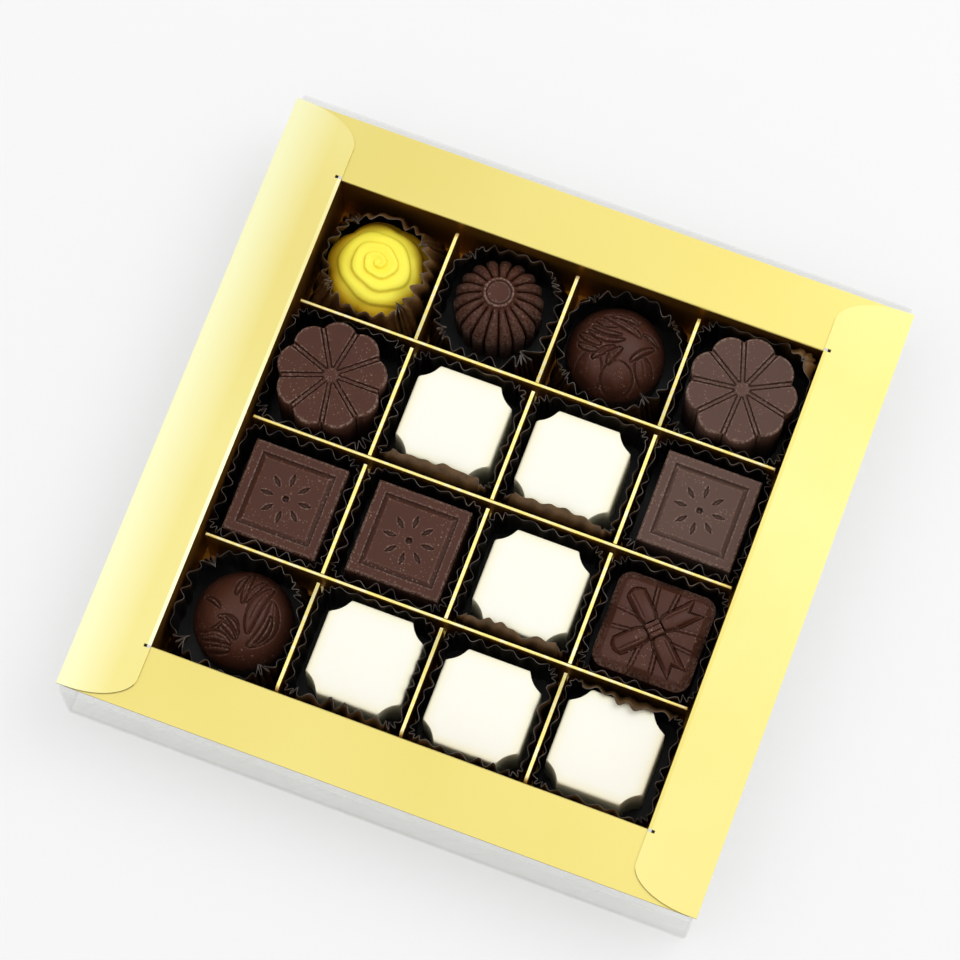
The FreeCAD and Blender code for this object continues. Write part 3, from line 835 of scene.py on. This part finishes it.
class Cup:
    """Where the pleats of one paper cup go."""

    def __init__(self, node, dice):
        low, high = box_of(node)
        self.cell = cell_of(node)
        self.sweet = next(other for other in frame["nodes"] if cell_of(other) == self.cell and other != node)
        self.centre = middle_of(node)
        self.floor = low[2]
        self.height = high[2] - low[2]
        cell_width = box_of("divider_along_right")[0][0] - box_of("divider_along_middle")[1][0]
        self.brim = cell_width / 2 - sizes().cell_gap
        self.foot = (high[0] - low[0]) / 2 - FOOT_INSET
        self.ceiling = box_of("left_rim")[1][2] - self.floor - RIM_CLEARANCE
        self.bend = self.height - BEND_DEPTH
        if self.sweet.startswith("flower"):
            self.bend = box_of(self.sweet)[1][2] - self.floor
        self.pleats = 4 * (sizes().side_pleats + sizes().corner_pleats)
        self.deep = [dice.uniform(*PLEAT_SPREAD) for pleat in range(self.pleats)]
        self.drift = dice.uniform(0.0, 1.0)
        self.seed = dice.uniform(0.0, 50.0)
        self.leans, self.ragged, self.gather, self.glow = BRIMS.get(self.cell, UPRIGHT)

    def room(self, spot, out):
        """Distance inwards from a place on the plan to the chocolate."""
        low, high = box_of(self.sweet)
        if self.sweet.startswith(ROUND_KINDS):
            middle = middle_of(self.sweet) - self.centre
            return (spot - middle).xy.length - (high[0] - low[0]) / 2
        gaps = []
        for axis in (0, 1):
            if abs(out[axis]) > 1e-6:
                bound = (high if out[axis] > 0 else low)[axis] - self.centre[axis]
                gaps.append((spot[axis] - bound) / out[axis])
        return max(gaps)

    def raised(self, plan):
        """One in the corner that stands up over its chocolate, if the cup has one."""
        if self.cell != RAISED_CORNER:
            return 0.0
        return smoothstep(0.8, 0.25, (plan - Vector((1, 1, 0))).length)

    def lean(self, out, raised, ring):
        """How far the brim leans in, in millimetres."""
        sides = (max(0, out.y), max(0, -out.x), max(0, -out.y), max(0, out.x))
        lean = sum(reach * facing ** 3 for reach, facing in zip(self.leans, sides))
        return (lean + RAISED_LEAN * raised) * (1.0 + 0.35 * noise.noise(ring * 4.0))

    def pull(self, spot, level):
        """How far the paper is gathered in towards the middle, in millimetres."""
        if not self.gather:
            return 0.0
        return max(0.0, spot.length / MM - self.gather) * smoothstep(0.2, 1.0, level)

    def pleat_depth(self, pleat, spot, out, lean, level):
        """Depth of a pleat, which stops short of the chocolate and is calm where the brim leans in."""
        calm = 1.0 - (1.0 - self.ragged) * min(1.0, lean / 1.6)
        room = max(0.0, self.room(spot, out) - sizes().sweet_gap)
        fold = max(sizes().pleat_depth, 0.45 * room) * self.deep[pleat % self.pleats] * calm
        return min(fold * (0.3 + 0.7 * level), room)

    def place(self, blank):
        """Where a vertex of the blank goes, and how much light comes through the paper there."""
        level = blank.z / CUP_LEVELS
        ring = Vector((blank.x, blank.y, self.seed))
        share = math.atan2(blank.y, blank.x) / (2 * math.pi) % 1.0
        plan, out = cup_plan(share)
        spot = plan * (self.foot + (self.brim - self.foot) * level)
        turns = share * self.pleats + self.drift + 0.5 * noise.noise(ring * 2.5)
        wave = 0.5 - 0.5 * math.cos(2 * math.pi * turns)
        raised = self.raised(plan)
        lean = self.lean(out, raised, ring)
        pull = self.pull(spot, level)
        depth = self.pleat_depth(int(turns), spot, out, lean, level)
        crest = 0.7 * noise.noise(ring * 3.0) + 0.6 * self.ragged * wave + 0.55 * lean
        crest += RAISED_HEIGHT * raised
        rise = min(self.height * level + crest * MM * level ** 4, self.ceiling)
        bent = min(1.2, max(0.0, rise - self.bend) / BEND_LENGTH) ** 1.5
        at = spot - out * (depth * wave + lean * MM * bent) - spot.normalized() * pull * MM
        # Painted light: the tan share stands for light through the paper near the brim, where it leans in or
        # is gathered, and on the raised corner.
        lit = 0.5 * smoothstep(0.82, 1.0, level) * smoothstep(-0.1, 0.4, noise.noise(ring * 2.0))
        lit = max(lit, raised * smoothstep(0.45, 0.85, level))
        lit = max(lit, self.glow * smoothstep(0.5, 1.8, lean * bent + pull))
        return Vector((self.centre.x + at.x, self.centre.y + at.y, self.floor + rise)), lit


def cup_shape(node, dice):
    """A pleated cup, pleats deepest at the brim and bunched at the corners."""
    cup = Cup(node, dice)
    shape = cup_blank(cup.pleats * PLEAT_POINTS)
    painted_light_layer = shape.verts.layers.float.new("lean")
    for vert in shape.verts:
        vert.co, vert[painted_light_layer] = cup.place(vert.co)
    bmesh.ops.recalc_face_normals(shape, faces=shape.faces)
    return shape


class OBJECT_OT_paper_cups(ChocolateBoxPiece, bpy.types.Operator):
    """Pleats the paper cups"""

    bl_idname = "object.chocolate_box_paper_cups"
    bl_label = "Paper cups"

    def execute(self, context):
        dice = random.Random(CUP_SEED)
        for node in nodes_like("cup_"):
            shape = cup_shape(node, dice)
            finishes = [finish(paper_finish), finish(brim_finish)]
            cup = piece("paper_" + node, shape, finishes, node, [node], 80.0)
            paper = cup.modifiers.new("paper", "SOLIDIFY")
            paper.thickness = sizes().paper
            paper.material_offset_rim = 1
        return {"FINISHED"}


# Chocolates

HAZES = {"flower_r1c4": 0.35, "tablet_r2c4": 0.45}


def moulded(node, shape, finish_maker, turn=0.0, sharp=50.0, centre=None):
    """Puts a chocolate made at the origin where its node stands, turned by some degrees."""
    middle = centre or middle_of(node)
    foot = Vector((middle.x, middle.y, box_of(node)[0][2]))
    place = Matrix.Translation(foot) @ Matrix.Rotation(math.radians(turn), 4, "Z")
    bmesh.ops.transform(shape, matrix=place, verts=shape.verts)
    haze = shape.verts.layers.float.new("haze")
    for vert in shape.verts:
        vert[haze] = HAZES.get(node, 0.0)
    piece("moulded_" + node, shape, [finish(finish_maker)], body_of(node), [node], sharp)


def mould_all(start, maker, finish_maker, sharp=50.0):
    """Moulds every chocolate of one kind."""
    for node in nodes_like(start):
        moulded(node, maker(node), finish_maker, sharp=sharp)
    return {"FINISHED"}


# White squares

WHITE_FOOT_INSET = 0.4 * MM
WHITE_SHOULDER_INSET = 0.7 * MM
WHITE_TOP_INSET = 1.2 * MM
WHITE_EDGE = 0.8 * MM


def notched_reach(angle, half, centre):
    """Reach from the middle to the edge of a square with corners scooped out round points beyond them."""
    aim = Vector((math.cos(angle), math.sin(angle)))
    reach = half / max(abs(aim.x), abs(aim.y))
    scoop = Vector((math.copysign(centre, aim.x), math.copysign(centre, aim.y)))
    ahead = aim.dot(scoop)
    inside = sizes().notch_radius ** 2 - (scoop.length_squared - ahead * ahead)
    if inside > 0.0:
        reach = min(reach, ahead - math.sqrt(inside))
    return reach


def white_square(node):
    width, height = node_size(node)
    half = width / 2
    shoulder = half - WHITE_SHOULDER_INSET
    top = half - WHITE_TOP_INSET
    profile = [
        (0.0, 0.0), (half - WHITE_FOOT_INSET, 0.0), (shoulder, height - WHITE_EDGE),
        (shoulder - 0.15 * MM, height - 0.35 * WHITE_EDGE), (top + 0.1 * MM, height - 0.08 * WHITE_EDGE),
        (top - 0.3 * MM, height), (0.0, height),
    ]
    shape = spun_blank(profile, 8, 240)
    side = shape.verts.layers.float.new("side")
    for vert in shape.verts:
        radius, angle = bearing(vert)
        if radius > 1e-6:
            level = max(radius, top)
            widen(vert, notched_reach(angle, level, half + sizes().notch_offset) / level)
        # The side share paints shade: ivory on the upper edge and down the sides.
        rim_share = max(abs(vert.co.x), abs(vert.co.y), vert.co.xy.length * 0.8) / top
        fade = 0.4 * smoothstep(0.8, 1.0, rim_share)
        below = smoothstep(height - 0.05 * WHITE_EDGE, height - 1.6 * WHITE_EDGE, vert.co.z)
        vert[side] = max(fade, below)
    upper = [vert for vert in shape.verts if vert.co.z > height - 0.9 * WHITE_EDGE]
    rim = [vert for vert in upper if vert.co.xy.length > half * 0.7]
    for step in range(2):
        smooth(shape, rim, "xy")
    return shape


class OBJECT_OT_white_squares(ChocolateBoxPiece, bpy.types.Operator):
    """Moulds the white squares with scooped corners"""

    bl_idname = "object.chocolate_box_white_squares"
    bl_label = "White squares"

    def execute(self, context):
        return mould_all("white_square_", white_square, white_finish, sharp=40.0)


# Square chocolates in relief, whose reliefs are worked out in millimetres

TABLET_PETALS = 8
PETAL_START = 3.3
PETAL_LENGTH = 3.1
PETAL_HALF = 0.65
PETAL_DEPTH = 0.55
FRAME_INNER = 7.9
FRAME_OUTER = 9.5
FRAME_DEPTH = 0.6
DOT_RADIUS = 0.85
DOT_DEPTH = 1.1


def square_blank(width, height, cells, draft, edge):
    """A square block whose top is a fine grid."""
    shape = bmesh.new()
    shoulder = width / 2 - draft
    place = Matrix.Translation((0, 0, height))
    bmesh.ops.create_grid(shape, x_segments=cells, y_segments=cells, size=shoulder - edge, matrix=place)
    rim = [side for side in shape.edges if side.is_boundary]
    for reach, level in ((shoulder, height - edge), (shoulder, height - edge - RIDGE_STEP), (width / 2, 0.0)):
        verts, rim = grow_rim(shape, rim)
        now = max(abs(vert.co.x) for vert in verts)
        for vert in verts:
            vert.co = Vector((vert.co.x * reach / now, vert.co.y * reach / now, level))
    bmesh.ops.contextual_create(shape, geom=rim)
    bmesh.ops.recalc_face_normals(shape, faces=shape.faces)
    return shape


def tablet_relief(x, y):
    """Depth of the tablet's frame, petals and dot."""
    square = max(abs(x), abs(y))
    outer_wall = smoothstep(FRAME_OUTER, FRAME_OUTER - 0.3, square)
    inner_slope = smoothstep(FRAME_INNER, FRAME_INNER + 1.2, square)
    depth = FRAME_DEPTH * outer_wall * inner_slope
    radius = math.hypot(x, y)
    angle = off_petal(math.atan2(y, x), TABLET_PETALS)
    along, off = radius * math.cos(angle) - PETAL_START, radius * math.sin(angle)
    if 0.0 < along < PETAL_LENGTH:
        half = PETAL_HALF * math.sin(math.pi * along / PETAL_LENGTH)
        depth = max(depth, PETAL_DEPTH * smoothstep(1.15, 0.4, abs(off) / max(half, 0.01)))
    return max(depth, DOT_DEPTH * smoothstep(DOT_RADIUS, DOT_RADIUS - 0.25, radius))


def tablet(node):
    width, height = node_size(node)
    shape = square_blank(width, height, 120, 0.8 * MM, 0.5 * MM)
    for vert in shape.verts:
        if vert.co.z > height - NEAR:
            vert.co.z -= tablet_relief(vert.co.x / MM, vert.co.y / MM) * MM
    mark_ridges(shape, 0.05 * MM)
    return shape


class OBJECT_OT_tablets(ChocolateBoxPiece, bpy.types.Operator):
    """Moulds the tablets with a framed ring of petals"""

    bl_idname = "object.chocolate_box_tablets"
    bl_label = "Tablets"

    def execute(self, context):
        return mould_all("tablet_", tablet, dark_finish)


# The bow's loops and tails: their angle in degrees, their reach and how deeply a tail's end is forked.

BOW_LOOPS = ((135, 11.2, 0.0), (47, 10.4, 1.0), (223, 10.8, 0.0), (-45, 10.4, 1.0))
BOW_RELIEF = 2.2
KNOT_HALF = 2.1


def ribbon_relief(along, off, under):
    """Height with one of the two ribbons laid over what is under it."""
    half = 1.8 + 0.1 * abs(along)
    band = smoothstep(half + 0.25, half, abs(off))
    lines = max(line_cut(abs(off) - half + 0.75, 0.5), line_cut(abs(off) - half - 0.2, 0.5))
    return max(under, 0.5 * band) - 0.4 * lines * smoothstep(1.5, 3.0, abs(along))


def loop_relief(x, y, under, degrees, reach, forked):
    """Height with one loop or tail laid over what is under it."""
    angle = math.radians(degrees)
    along = x * math.cos(angle) + y * math.sin(angle)
    off = -x * math.sin(angle) + y * math.cos(angle)
    half = 1.3 + 0.9 * smoothstep(0.8, 4.5, along)
    end = reach - (0.9 - abs(off)) * forked if forked else reach - 0.22 * off * off
    inside = min(half - abs(off), end - along)
    if not 0.8 < along < end + 0.4 or inside <= -0.4:
        return under
    bulge = math.sqrt(max(0.0, 1.0 - (off / (half + 0.3)) ** 2))
    crown = (0.6 + 1.3 * math.sin(math.pi * min(1.0, along / reach))) * bulge
    crease = line_cut(off - 1.0, 0.45) * smoothstep(2.5, 4.0, along) * smoothstep(0.3, 1.0, inside)
    return crown * smoothstep(0.0, 0.6, inside) + (under - 0.4) * smoothstep(0.0, -0.3, inside) - 0.3 * crease


def bow_relief(x, y):
    """Height of the bow's ribbons, loops and knot."""
    knot = max(abs(x + y), abs(x - y)) / math.sqrt(2)
    if knot < KNOT_HALF:
        lines = line_cut(x - y - 0.9, 0.5) + line_cut(x - y + 0.9, 0.5)
        return 2.1 * smoothstep(KNOT_HALF, KNOT_HALF - 0.5, knot) - 0.4 * lines
    high = 0.0
    for along, off in ((x, y), (y, x)):
        high = ribbon_relief(along, off, high)
    for loop in BOW_LOOPS:
        high = loop_relief(x, y, high, *loop)
    return high


def round_corner(vert, straight):
    """Draws a vertex beyond the straight part of both sides in to a round corner."""
    beyond = Vector([max(0.0, abs(vert.co[axis]) - straight) for axis in (0, 1)])
    if min(beyond) > 0.0:
        for axis in (0, 1):
            drawn_in = straight + beyond[axis] * max(beyond) / beyond.length
            vert.co[axis] = math.copysign(drawn_in, vert.co[axis])


def bow(node):
    width, height = node_size(node)
    half = width / 2
    level = height - BOW_RELIEF * MM
    shape = square_blank(width, level, 140, 0.4 * MM, 1.6 * MM)
    for vert in shape.verts:
        reach = max(abs(vert.co.x), abs(vert.co.y))
        round_corner(vert, half - sizes().bow_corner)
        if vert.co.z > level - NEAR:
            edge = smoothstep(1.0, 0.86, reach / (half - 1.3 * MM))
            vert.co.z += (bow_relief(vert.co.x / MM, vert.co.y / MM) * edge - 0.6 * (1 - edge)) * MM
    mark_ridges(shape, 0.15 * MM)
    return shape


class OBJECT_OT_bow(ChocolateBoxPiece, bpy.types.Operator):
    """Moulds the square with a tied bow"""

    bl_idname = "object.chocolate_box_bow"
    bl_label = "Bow"

    def execute(self, context):
        return mould_all("bow_", bow, dark_finish)


# Round chocolates, whose reliefs are worked out in millimetres

FLOWER_TURNS = {"flower_r1c4": 7.0, "flower_r2c1": 20.0}
FLOWER_PETALS = 9
FLOWER_LOBE = 4.8 * MM
FLOWER_EDGE = 0.5 * MM
FLOWER_DRAFT = 0.1 * MM
DAISY_FLUTES = 18
DAISY_BUTTON = 3.9


def flower_reach(angle, radius):
    """Distance from the middle to the edge of a flower of round petals."""
    off = off_petal(angle, FLOWER_PETALS)
    ring = radius - FLOWER_LOBE
    return ring * math.cos(off) + math.sqrt(FLOWER_LOBE * FLOWER_LOBE - (ring * math.sin(off)) ** 2)


def flower_lines(radius, angle):
    """Depth of the lines beside the ridges between the petals."""
    off = radius * math.sin(off_petal(angle - math.pi / FLOWER_PETALS, FLOWER_PETALS))
    fade = smoothstep(1.2, 2.4, radius) * smoothstep(13.4, 12.4, radius)
    lines = max(line_cut(abs(off) - 0.5, 0.55), 0.35 * line_cut(off, 1.0))
    return 0.6 * lines * fade


def flower(node):
    height = node_size(node)[1]
    half = sizes().flower_width / 2
    wall = half - FLOWER_DRAFT
    profile = [
        (0.0, 0.0), (half, 0.0), (wall, height - FLOWER_EDGE - RIDGE_STEP), (wall, height - FLOWER_EDGE),
        (wall - 0.35 * FLOWER_EDGE, height - 0.25 * FLOWER_EDGE), (wall - FLOWER_EDGE, height), (0.0, height),
    ]
    shape = spun_blank(profile, 48, 432)
    for vert in shape.verts:
        radius, angle = bearing(vert)
        if radius > 1e-6:
            lobed = flower_reach(angle, half) / half - 1
            widen(vert, 1 + lobed * min(1.0, radius / half) ** 0.5)
            if vert.co.z > height - 0.5 * FLOWER_EDGE:
                vert.co.z -= flower_lines(vert.co.xy.length / MM, angle) * MM
    mark_ridges(shape, 0.05 * MM)
    return shape


class OBJECT_OT_flowers(ChocolateBoxPiece, bpy.types.Operator):
    """Moulds the flat flowers of nine petals"""

    bl_idname = "object.chocolate_box_flowers"
    bl_label = "Flowers"

    def execute(self, context):
        for node in nodes_like("flower_"):
            centre = middle_of("cup_" + cell_of(node))
            moulded(node, flower(node), dark_finish, FLOWER_TURNS[node], centre=centre)
        return {"FINISHED"}


def dome_wall(width, height):
    """Height of the upright wall under a dome."""
    return height - width / 2 + 1.0 * MM


def dome_blank(width, wall, rings, spokes):
    """A drum with a flat top, ready to be raised into a dome."""
    half = width / 2
    return spun_blank([(0.0, 0.0), (half * 0.97, 0.0), (half, wall), (0.0, wall)], rings, spokes)


def raise_dome(shape, width, height, wall, relief):
    """Lifts a drum's top to a ball's crown with a relief."""
    ball = width / 2 + 0.7 * MM
    for vert in shape.verts:
        if vert.co.z > wall - NEAR:
            radius, angle = bearing(vert)
            crown = height - ball + math.sqrt(ball * ball - radius * radius)
            vert.co.z = crown + relief(radius / MM, angle) * MM


def flute_at(angle):
    """How deep a place lies between two flutes: nought on a flute's crest and one in the groove."""
    off = off_petal(angle, DAISY_FLUTES) / (math.pi / DAISY_FLUTES)
    return 1.0 - math.sqrt(1.0 - 0.96 * off * off)


def daisy_relief(radius, angle):
    """Height of the daisy's hollow button over its flutes."""
    button = smoothstep(DAISY_BUTTON, DAISY_BUTTON - 0.2, radius)
    lift = button * (0.1 + 0.05 * radius * radius - 0.3 * line_cut(radius - 3.0, 0.4))
    return lift - (2.3 * flute_at(angle) + 0.4) * smoothstep(3.7, 5.0, radius)


def daisy(node):
    width, height = node_size(node)
    wall = dome_wall(width, height)
    shape = dome_blank(width, wall, 50, 14 * DAISY_FLUTES)
    raise_dome(shape, width, height, wall, daisy_relief)
    for vert in shape.verts:
        radius, angle = bearing(vert)
        if radius > width * 0.3:
            widen(vert, 1 - 0.13 * flute_at(angle) * smoothstep(0.3, 0.5, radius / width))
    mark_ridges(shape, 0.06 * MM)
    return shape


class OBJECT_OT_daisy(ChocolateBoxPiece, bpy.types.Operator):
    """Moulds the fluted daisy with its button"""

    bl_idname = "object.chocolate_box_daisy"
    bl_label = "Daisy"

    def execute(self, context):
        return mould_all("daisy_", daisy, dark_finish)


# Leaves of the two domes in the order they lie, in millimetres from the top:
# root, tip, bow, half-width and midrib.

SPRAYS = {
    "leaf_dome_r1c3": (
        ((-6.0, -0.6), (-6.6, -11.0), -0.6, 3.2, 0),
        ((5.6, -2.0), (7.0, -9.8), 0.4, 2.2, 1),
        ((0.2, -3.8), (-0.2, -12.0), 0.0, 4.0, 0),
        ((-6.2, -3.0), (-0.2, -0.4), 0.3, 0.8, 1),
        ((-2.4, -4.8), (1.4, -0.6), 0.5, 0.9, 1),
        ((3.2, -4.0), (9.6, 0.2), 0.3, 0.7, 0),
        ((-9.4, 1.7), (-4.4, -1.2), -0.4, 0.8, 1),
        ((-9.0, 4.3), (-3.8, 0.2), -0.2, 0.9, 1),
        ((-7.0, 4.8), (2.2, 1.4), -1.4, 0.8, 0),
        ((-6.0, 5.8), (1.4, 2.6), -0.7, 0.7, 0),
        ((-5.0, 7.4), (0.4, 5.0), -0.4, 0.8, 1),
        ((-3.0, 8.4), (6.2, 2.2), 0.5, 1.1, 1),
        ((-1.0, 8.2), (5.6, 5.8), 0.6, 0.8, 0),
        ((6.4, 3.6), (10.4, 0.8), 0.3, 0.6, 0),
    ),
    "leaf_dome_r4c1": (
        ((0.0, 2.0), (2.6, 11.4), 0.3, 0.8, 1),
        ((-1.6, 4.4), (0.9, 9.6), 0.3, 0.7, 0),
        ((0.9, 2.4), (5.6, 8.5), 0.4, 0.8, 1),
        ((1.2, -5.2), (7.4, 6.8), 1.2, 1.6, 1),
        ((1.2, -8.0), (7.4, 3.4), -2.4, 1.8, 1),
        ((3.0, -7.4), (7.0, -0.6), -1.0, 0.6, 0),
        ((-1.2, -6.4), (-6.0, -0.6), -1.8, 1.0, 1),
        ((-1.6, -6.4), (-5.2, -2.2), -0.3, 0.7, 0),
        ((-0.8, -5.6), (-3.8, -0.8), -0.5, 0.6, 0),
        ((-4.8, -2.0), (-11.4, -3.6), 1.4, 0.6, 0),
        ((-2.6, -7.4), (-10.4, -4.8), -0.9, 1.2, 1),
        ((-2.8, -8.6), (-10.2, -7.2), 0.2, 0.8, 0),
        ((-9.2, 4.8), (-5.2, 1.2), 0.4, 0.5, 0),
    ),
}
SPRAY_TURN = math.radians(20.0)
LEAF_REACH = 12.0
LEAF_RISE = 0.4 * MM


def leaf_relief(x, y, root, tip, bend, width, ribbed):
    """Height of one leaf from its root to its tip, bowed, tapering and outlined, or None off it."""
    run = Vector(tip) - Vector(root)
    aim = run.normalized()
    spot = Vector((x, y)) - Vector(root)
    along = spot.dot(aim) / run.length
    if not 0.0 < along < 1.0:
        return None
    off = aim.x * spot.y - aim.y * spot.x - bend * 4 * along * (1 - along)
    half = width * math.sin(math.pi * along) ** 0.5
    inside = half - abs(off)
    if inside < -0.35:
        return None
    crown = (0.3 + 0.12 * width) * smoothstep(0.0, 0.8 * width, inside)
    rib = 0.4 * line_cut(off, 0.5) * smoothstep(0.1, 0.3, along) * smoothstep(0.2, 0.5, inside)
    return crown - 0.6 * line_cut(inside, 0.7) - ribbed * rib


def leaf_dome(node):
    width, height = node_size(node)
    wall = dome_wall(width, height)

    def relief(radius, angle):
        x, y = radius * math.cos(angle - SPRAY_TURN), radius * math.sin(angle - SPRAY_TURN)
        high = 0.0
        for leaf in SPRAYS[node]:
            found = leaf_relief(x, y, *leaf)
            high = high if found is None else found
        return high * smoothstep(LEAF_REACH, LEAF_REACH - 1.5, radius)

    shape = dome_blank(width, wall, 76, 300)
    raise_dome(shape, width, height - LEAF_RISE, wall, relief)
    smooth(shape, shape.verts, "z")
    mark_ridges(shape, 0.12 * MM)
    return shape


class OBJECT_OT_leaf_domes(ChocolateBoxPiece, bpy.types.Operator):
    """Moulds the domes with a spray of leaves"""

    bl_idname = "object.chocolate_box_leaf_domes"
    bl_label = "Leaf domes"

    def execute(self, context):
        return mould_all("leaf_dome_", leaf_dome, dark_finish)


ROSE_WALL = 9.0 * MM
ROSE_TURNS = 4.6
ROSE_DROP = 0.8 * MM
ROSE_LIP = 0.8 * MM


def petal_lip(share, angle):
    """How far a place on the rose stands up to the lip of its petal, from nought to one."""
    oval = share * (1 + 0.08 * math.cos(2 * angle - 2.6) + 0.03 * math.cos(5 * angle + 7.0 * share))
    part = (ROSE_TURNS * oval ** 0.8 - angle / (2 * math.pi)) % 1.0
    return smoothstep(0.0, 0.8, part) * smoothstep(1.0, 0.9, part)


def rose(node):
    """Petals wound round a bud, flat in the middle and scalloped at the edge."""
    width, height = node_size(node)
    half = width / 2
    profile = [(0.0, 0.0), (half * 0.86, 0.0), (half, ROSE_WALL), (0.0, ROSE_WALL)]
    shape = spun_blank(profile, 80, 300)
    side = shape.verts.layers.float.new("side")
    for vert in shape.verts:
        radius, angle = bearing(vert)
        share = radius / half
        if vert.co.z > ROSE_WALL - 0.1 * MM:
            crown = height - ROSE_DROP - (height - ROSE_WALL - 1.5 * MM) * share ** 2.6
            lip = ROSE_LIP * (petal_lip(share, angle) - 0.5)
            vert.co.z = crown + lip * smoothstep(0.0, 0.1, share)
        # The side share paints shade amber round the rose's edge.
        vert[side] = smoothstep(0.6, 0.95, share)
        widen(vert, 1 - 0.07 * (1 - abs(math.cos(3 * angle + 0.4))) * smoothstep(0.6, 1.0, share))
    mark_ridges(shape, 0.08 * MM)
    return shape


class OBJECT_OT_rose(ChocolateBoxPiece, bpy.types.Operator):
    """Moulds the yellow rose"""

    bl_idname = "object.chocolate_box_rose"
    bl_label = "Rose"

    def execute(self, context):
        return mould_all("rose_", rose, yellow_finish)


# Stage. The lamps are given by name, place, width and power.

FLOOR_HALF = 6.0
FLOOR_WHITE = (0.90, 0.90, 0.90, 1.0)
FLOOR_GLOW = (0.95, 0.95, 0.95, 1.0)
FLOOR_GLOW_SHARE = 0.45
SKY_WHITE = (1.0, 1.0, 1.0, 1.0)
SKY_LIGHT = 0.68
LAMPS = (("key", (0.55, 0.55, 1.1), 1.0, 6.0), ("fill", (-0.6, -0.3, 1.3), 1.2, 3.6))
CAMERA_TARGET = Vector((-0.003942, 0.002874, 0.024))
CAMERA_DISTANCE = 0.9422
CAMERA_AZIMUTH = math.radians(-70.142)
CAMERA_ELEVATION = math.radians(74.121)
CAMERA_ROLL = math.radians(0.648)
CAMERA_LENS = 146.891
CAMERA_SENSOR = 36.0


def hang(name, data, place, turn):
    """Puts a lamp or a camera in its place."""
    holder = add_object(name, data)
    holder.location = place
    holder.rotation_mode = "QUATERNION"
    holder.rotation_quaternion = turn
    return holder


class OBJECT_OT_stage(ChocolateBoxPiece, bpy.types.Operator):
    """Sets the floor, the soft light and the camera"""

    bl_idname = "object.chocolate_box_stage"
    bl_label = "Stage"

    def execute(self, context):
        self.lay_floor()
        self.light_sky()
        for lamp in LAMPS:
            self.hang_lamp(*lamp)
        self.aim_camera()
        bpy.context.scene.view_settings.view_transform = "Standard"
        return {"FINISHED"}

    def lay_floor(self):
        """A white floor that looks a little paler to the camera."""
        shape = bmesh.new()
        bmesh.ops.create_grid(shape, x_segments=1, y_segments=1, size=FLOOR_HALF)
        paint = Finish("floor_white", Roughness=0.7, Base_Color=FLOOR_WHITE)
        seen = FLOOR_GLOW_SHARE * paint.node("LightPath", output="Is Camera Ray")
        glow = paint.node("Emission", None, {"Color": FLOOR_GLOW})
        matt = Value(paint, paint.shader.outputs[0])
        pale = paint.node("MixShader", None, {0: seen, 1: matt, 2: glow})
        paint.feed(paint.tree.nodes["Material Output"].inputs["Surface"], pale)
        floor = add_object("floor", mesh_of("floor", shape, [paint.material]))

    def light_sky(self):
        """A white sky, dimmer as a light than where it is seen, mirrored or looked at through the film."""
        world = bpy.data.worlds.new("studio")
        bpy.context.scene.world = world
        world.use_nodes = True
        sky = Shading(world.node_tree)
        seen = sky.node("LightPath", output="Is Camera Ray")
        for ray in ("Is Glossy Ray", "Is Transmission Ray"):
            seen = seen.or_more(sky.node("LightPath", output=ray))
        back = sky.tree.nodes["Background"]
        sky.feed(back.inputs["Color"], SKY_WHITE)
        sky.feed(back.inputs["Strength"], SKY_LIGHT + (1.0 - SKY_LIGHT) * seen)

    def hang_lamp(self, name, place, width, power):
        """A square soft lamp that faces the middle of the floor."""
        lamp = bpy.data.lights.new(name, "AREA")
        lamp.size = width
        lamp.energy = power
        hang(name, lamp, place, Vector(place).to_track_quat("Z", "Y"))

    def aim_camera(self):
        camera = bpy.data.cameras.new("camera")
        camera.lens = CAMERA_LENS
        camera.sensor_width = CAMERA_SENSOR
        camera.clip_start = 0.01
        level = math.cos(CAMERA_ELEVATION)
        away = Vector((
            level * math.cos(CAMERA_AZIMUTH), level * math.sin(CAMERA_AZIMUTH), math.sin(CAMERA_ELEVATION)
        ))
        place = CAMERA_TARGET + away * CAMERA_DISTANCE
        turn = away.to_track_quat("Z", "Y") @ Quaternion((0.0, 0.0, 1.0), CAMERA_ROLL)
        bpy.context.scene.camera = hang("camera", camera, place, turn)


PIECES = (
    OBJECT_OT_clear_base, OBJECT_OT_gold_tray, OBJECT_OT_rim_flaps, OBJECT_OT_dividers, OBJECT_OT_paper_cups,
    OBJECT_OT_white_squares, OBJECT_OT_tablets, OBJECT_OT_bow, OBJECT_OT_flowers, OBJECT_OT_daisy,
    OBJECT_OT_leaf_domes, OBJECT_OT_rose, OBJECT_OT_stage,
)


class VIEW3D_PT_chocolate_box(bpy.types.Panel):
    """Lists the sizes, the colours and the pieces"""

    bl_label = "Chocolate box"
    bl_space_type = "VIEW_3D"
    bl_region_type = "UI"
    bl_category = "Chocolate box"

    def draw(self, context):
        for group in (sizes(), colours()):
            column = self.layout.column(align=True)
            for name in group.__annotations__:
                column.prop(group, name)
        for operator in PIECES:
            self.layout.operator(operator.bl_idname)


CLASSES = (ChocolateBoxSizes, ChocolateBoxColours, *PIECES, VIEW3D_PT_chocolate_box)


def register():
    for made in CLASSES:
        bpy.utils.register_class(made)
    bpy.types.Scene.chocolate_box_sizes = PointerProperty(type=ChocolateBoxSizes)
    bpy.types.Scene.chocolate_box_colours = PointerProperty(type=ChocolateBoxColours)


def unregister():
    del bpy.types.Scene.chocolate_box_colours
    del bpy.types.Scene.chocolate_box_sizes
    for made in reversed(CLASSES):
        bpy.utils.unregister_class(made)


def main():
    register()
    for operator in PIECES:
        group, name = operator.bl_idname.split(".")
        getattr(getattr(bpy.ops, group), name)()
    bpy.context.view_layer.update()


if __name__ == "__main__":
    main()
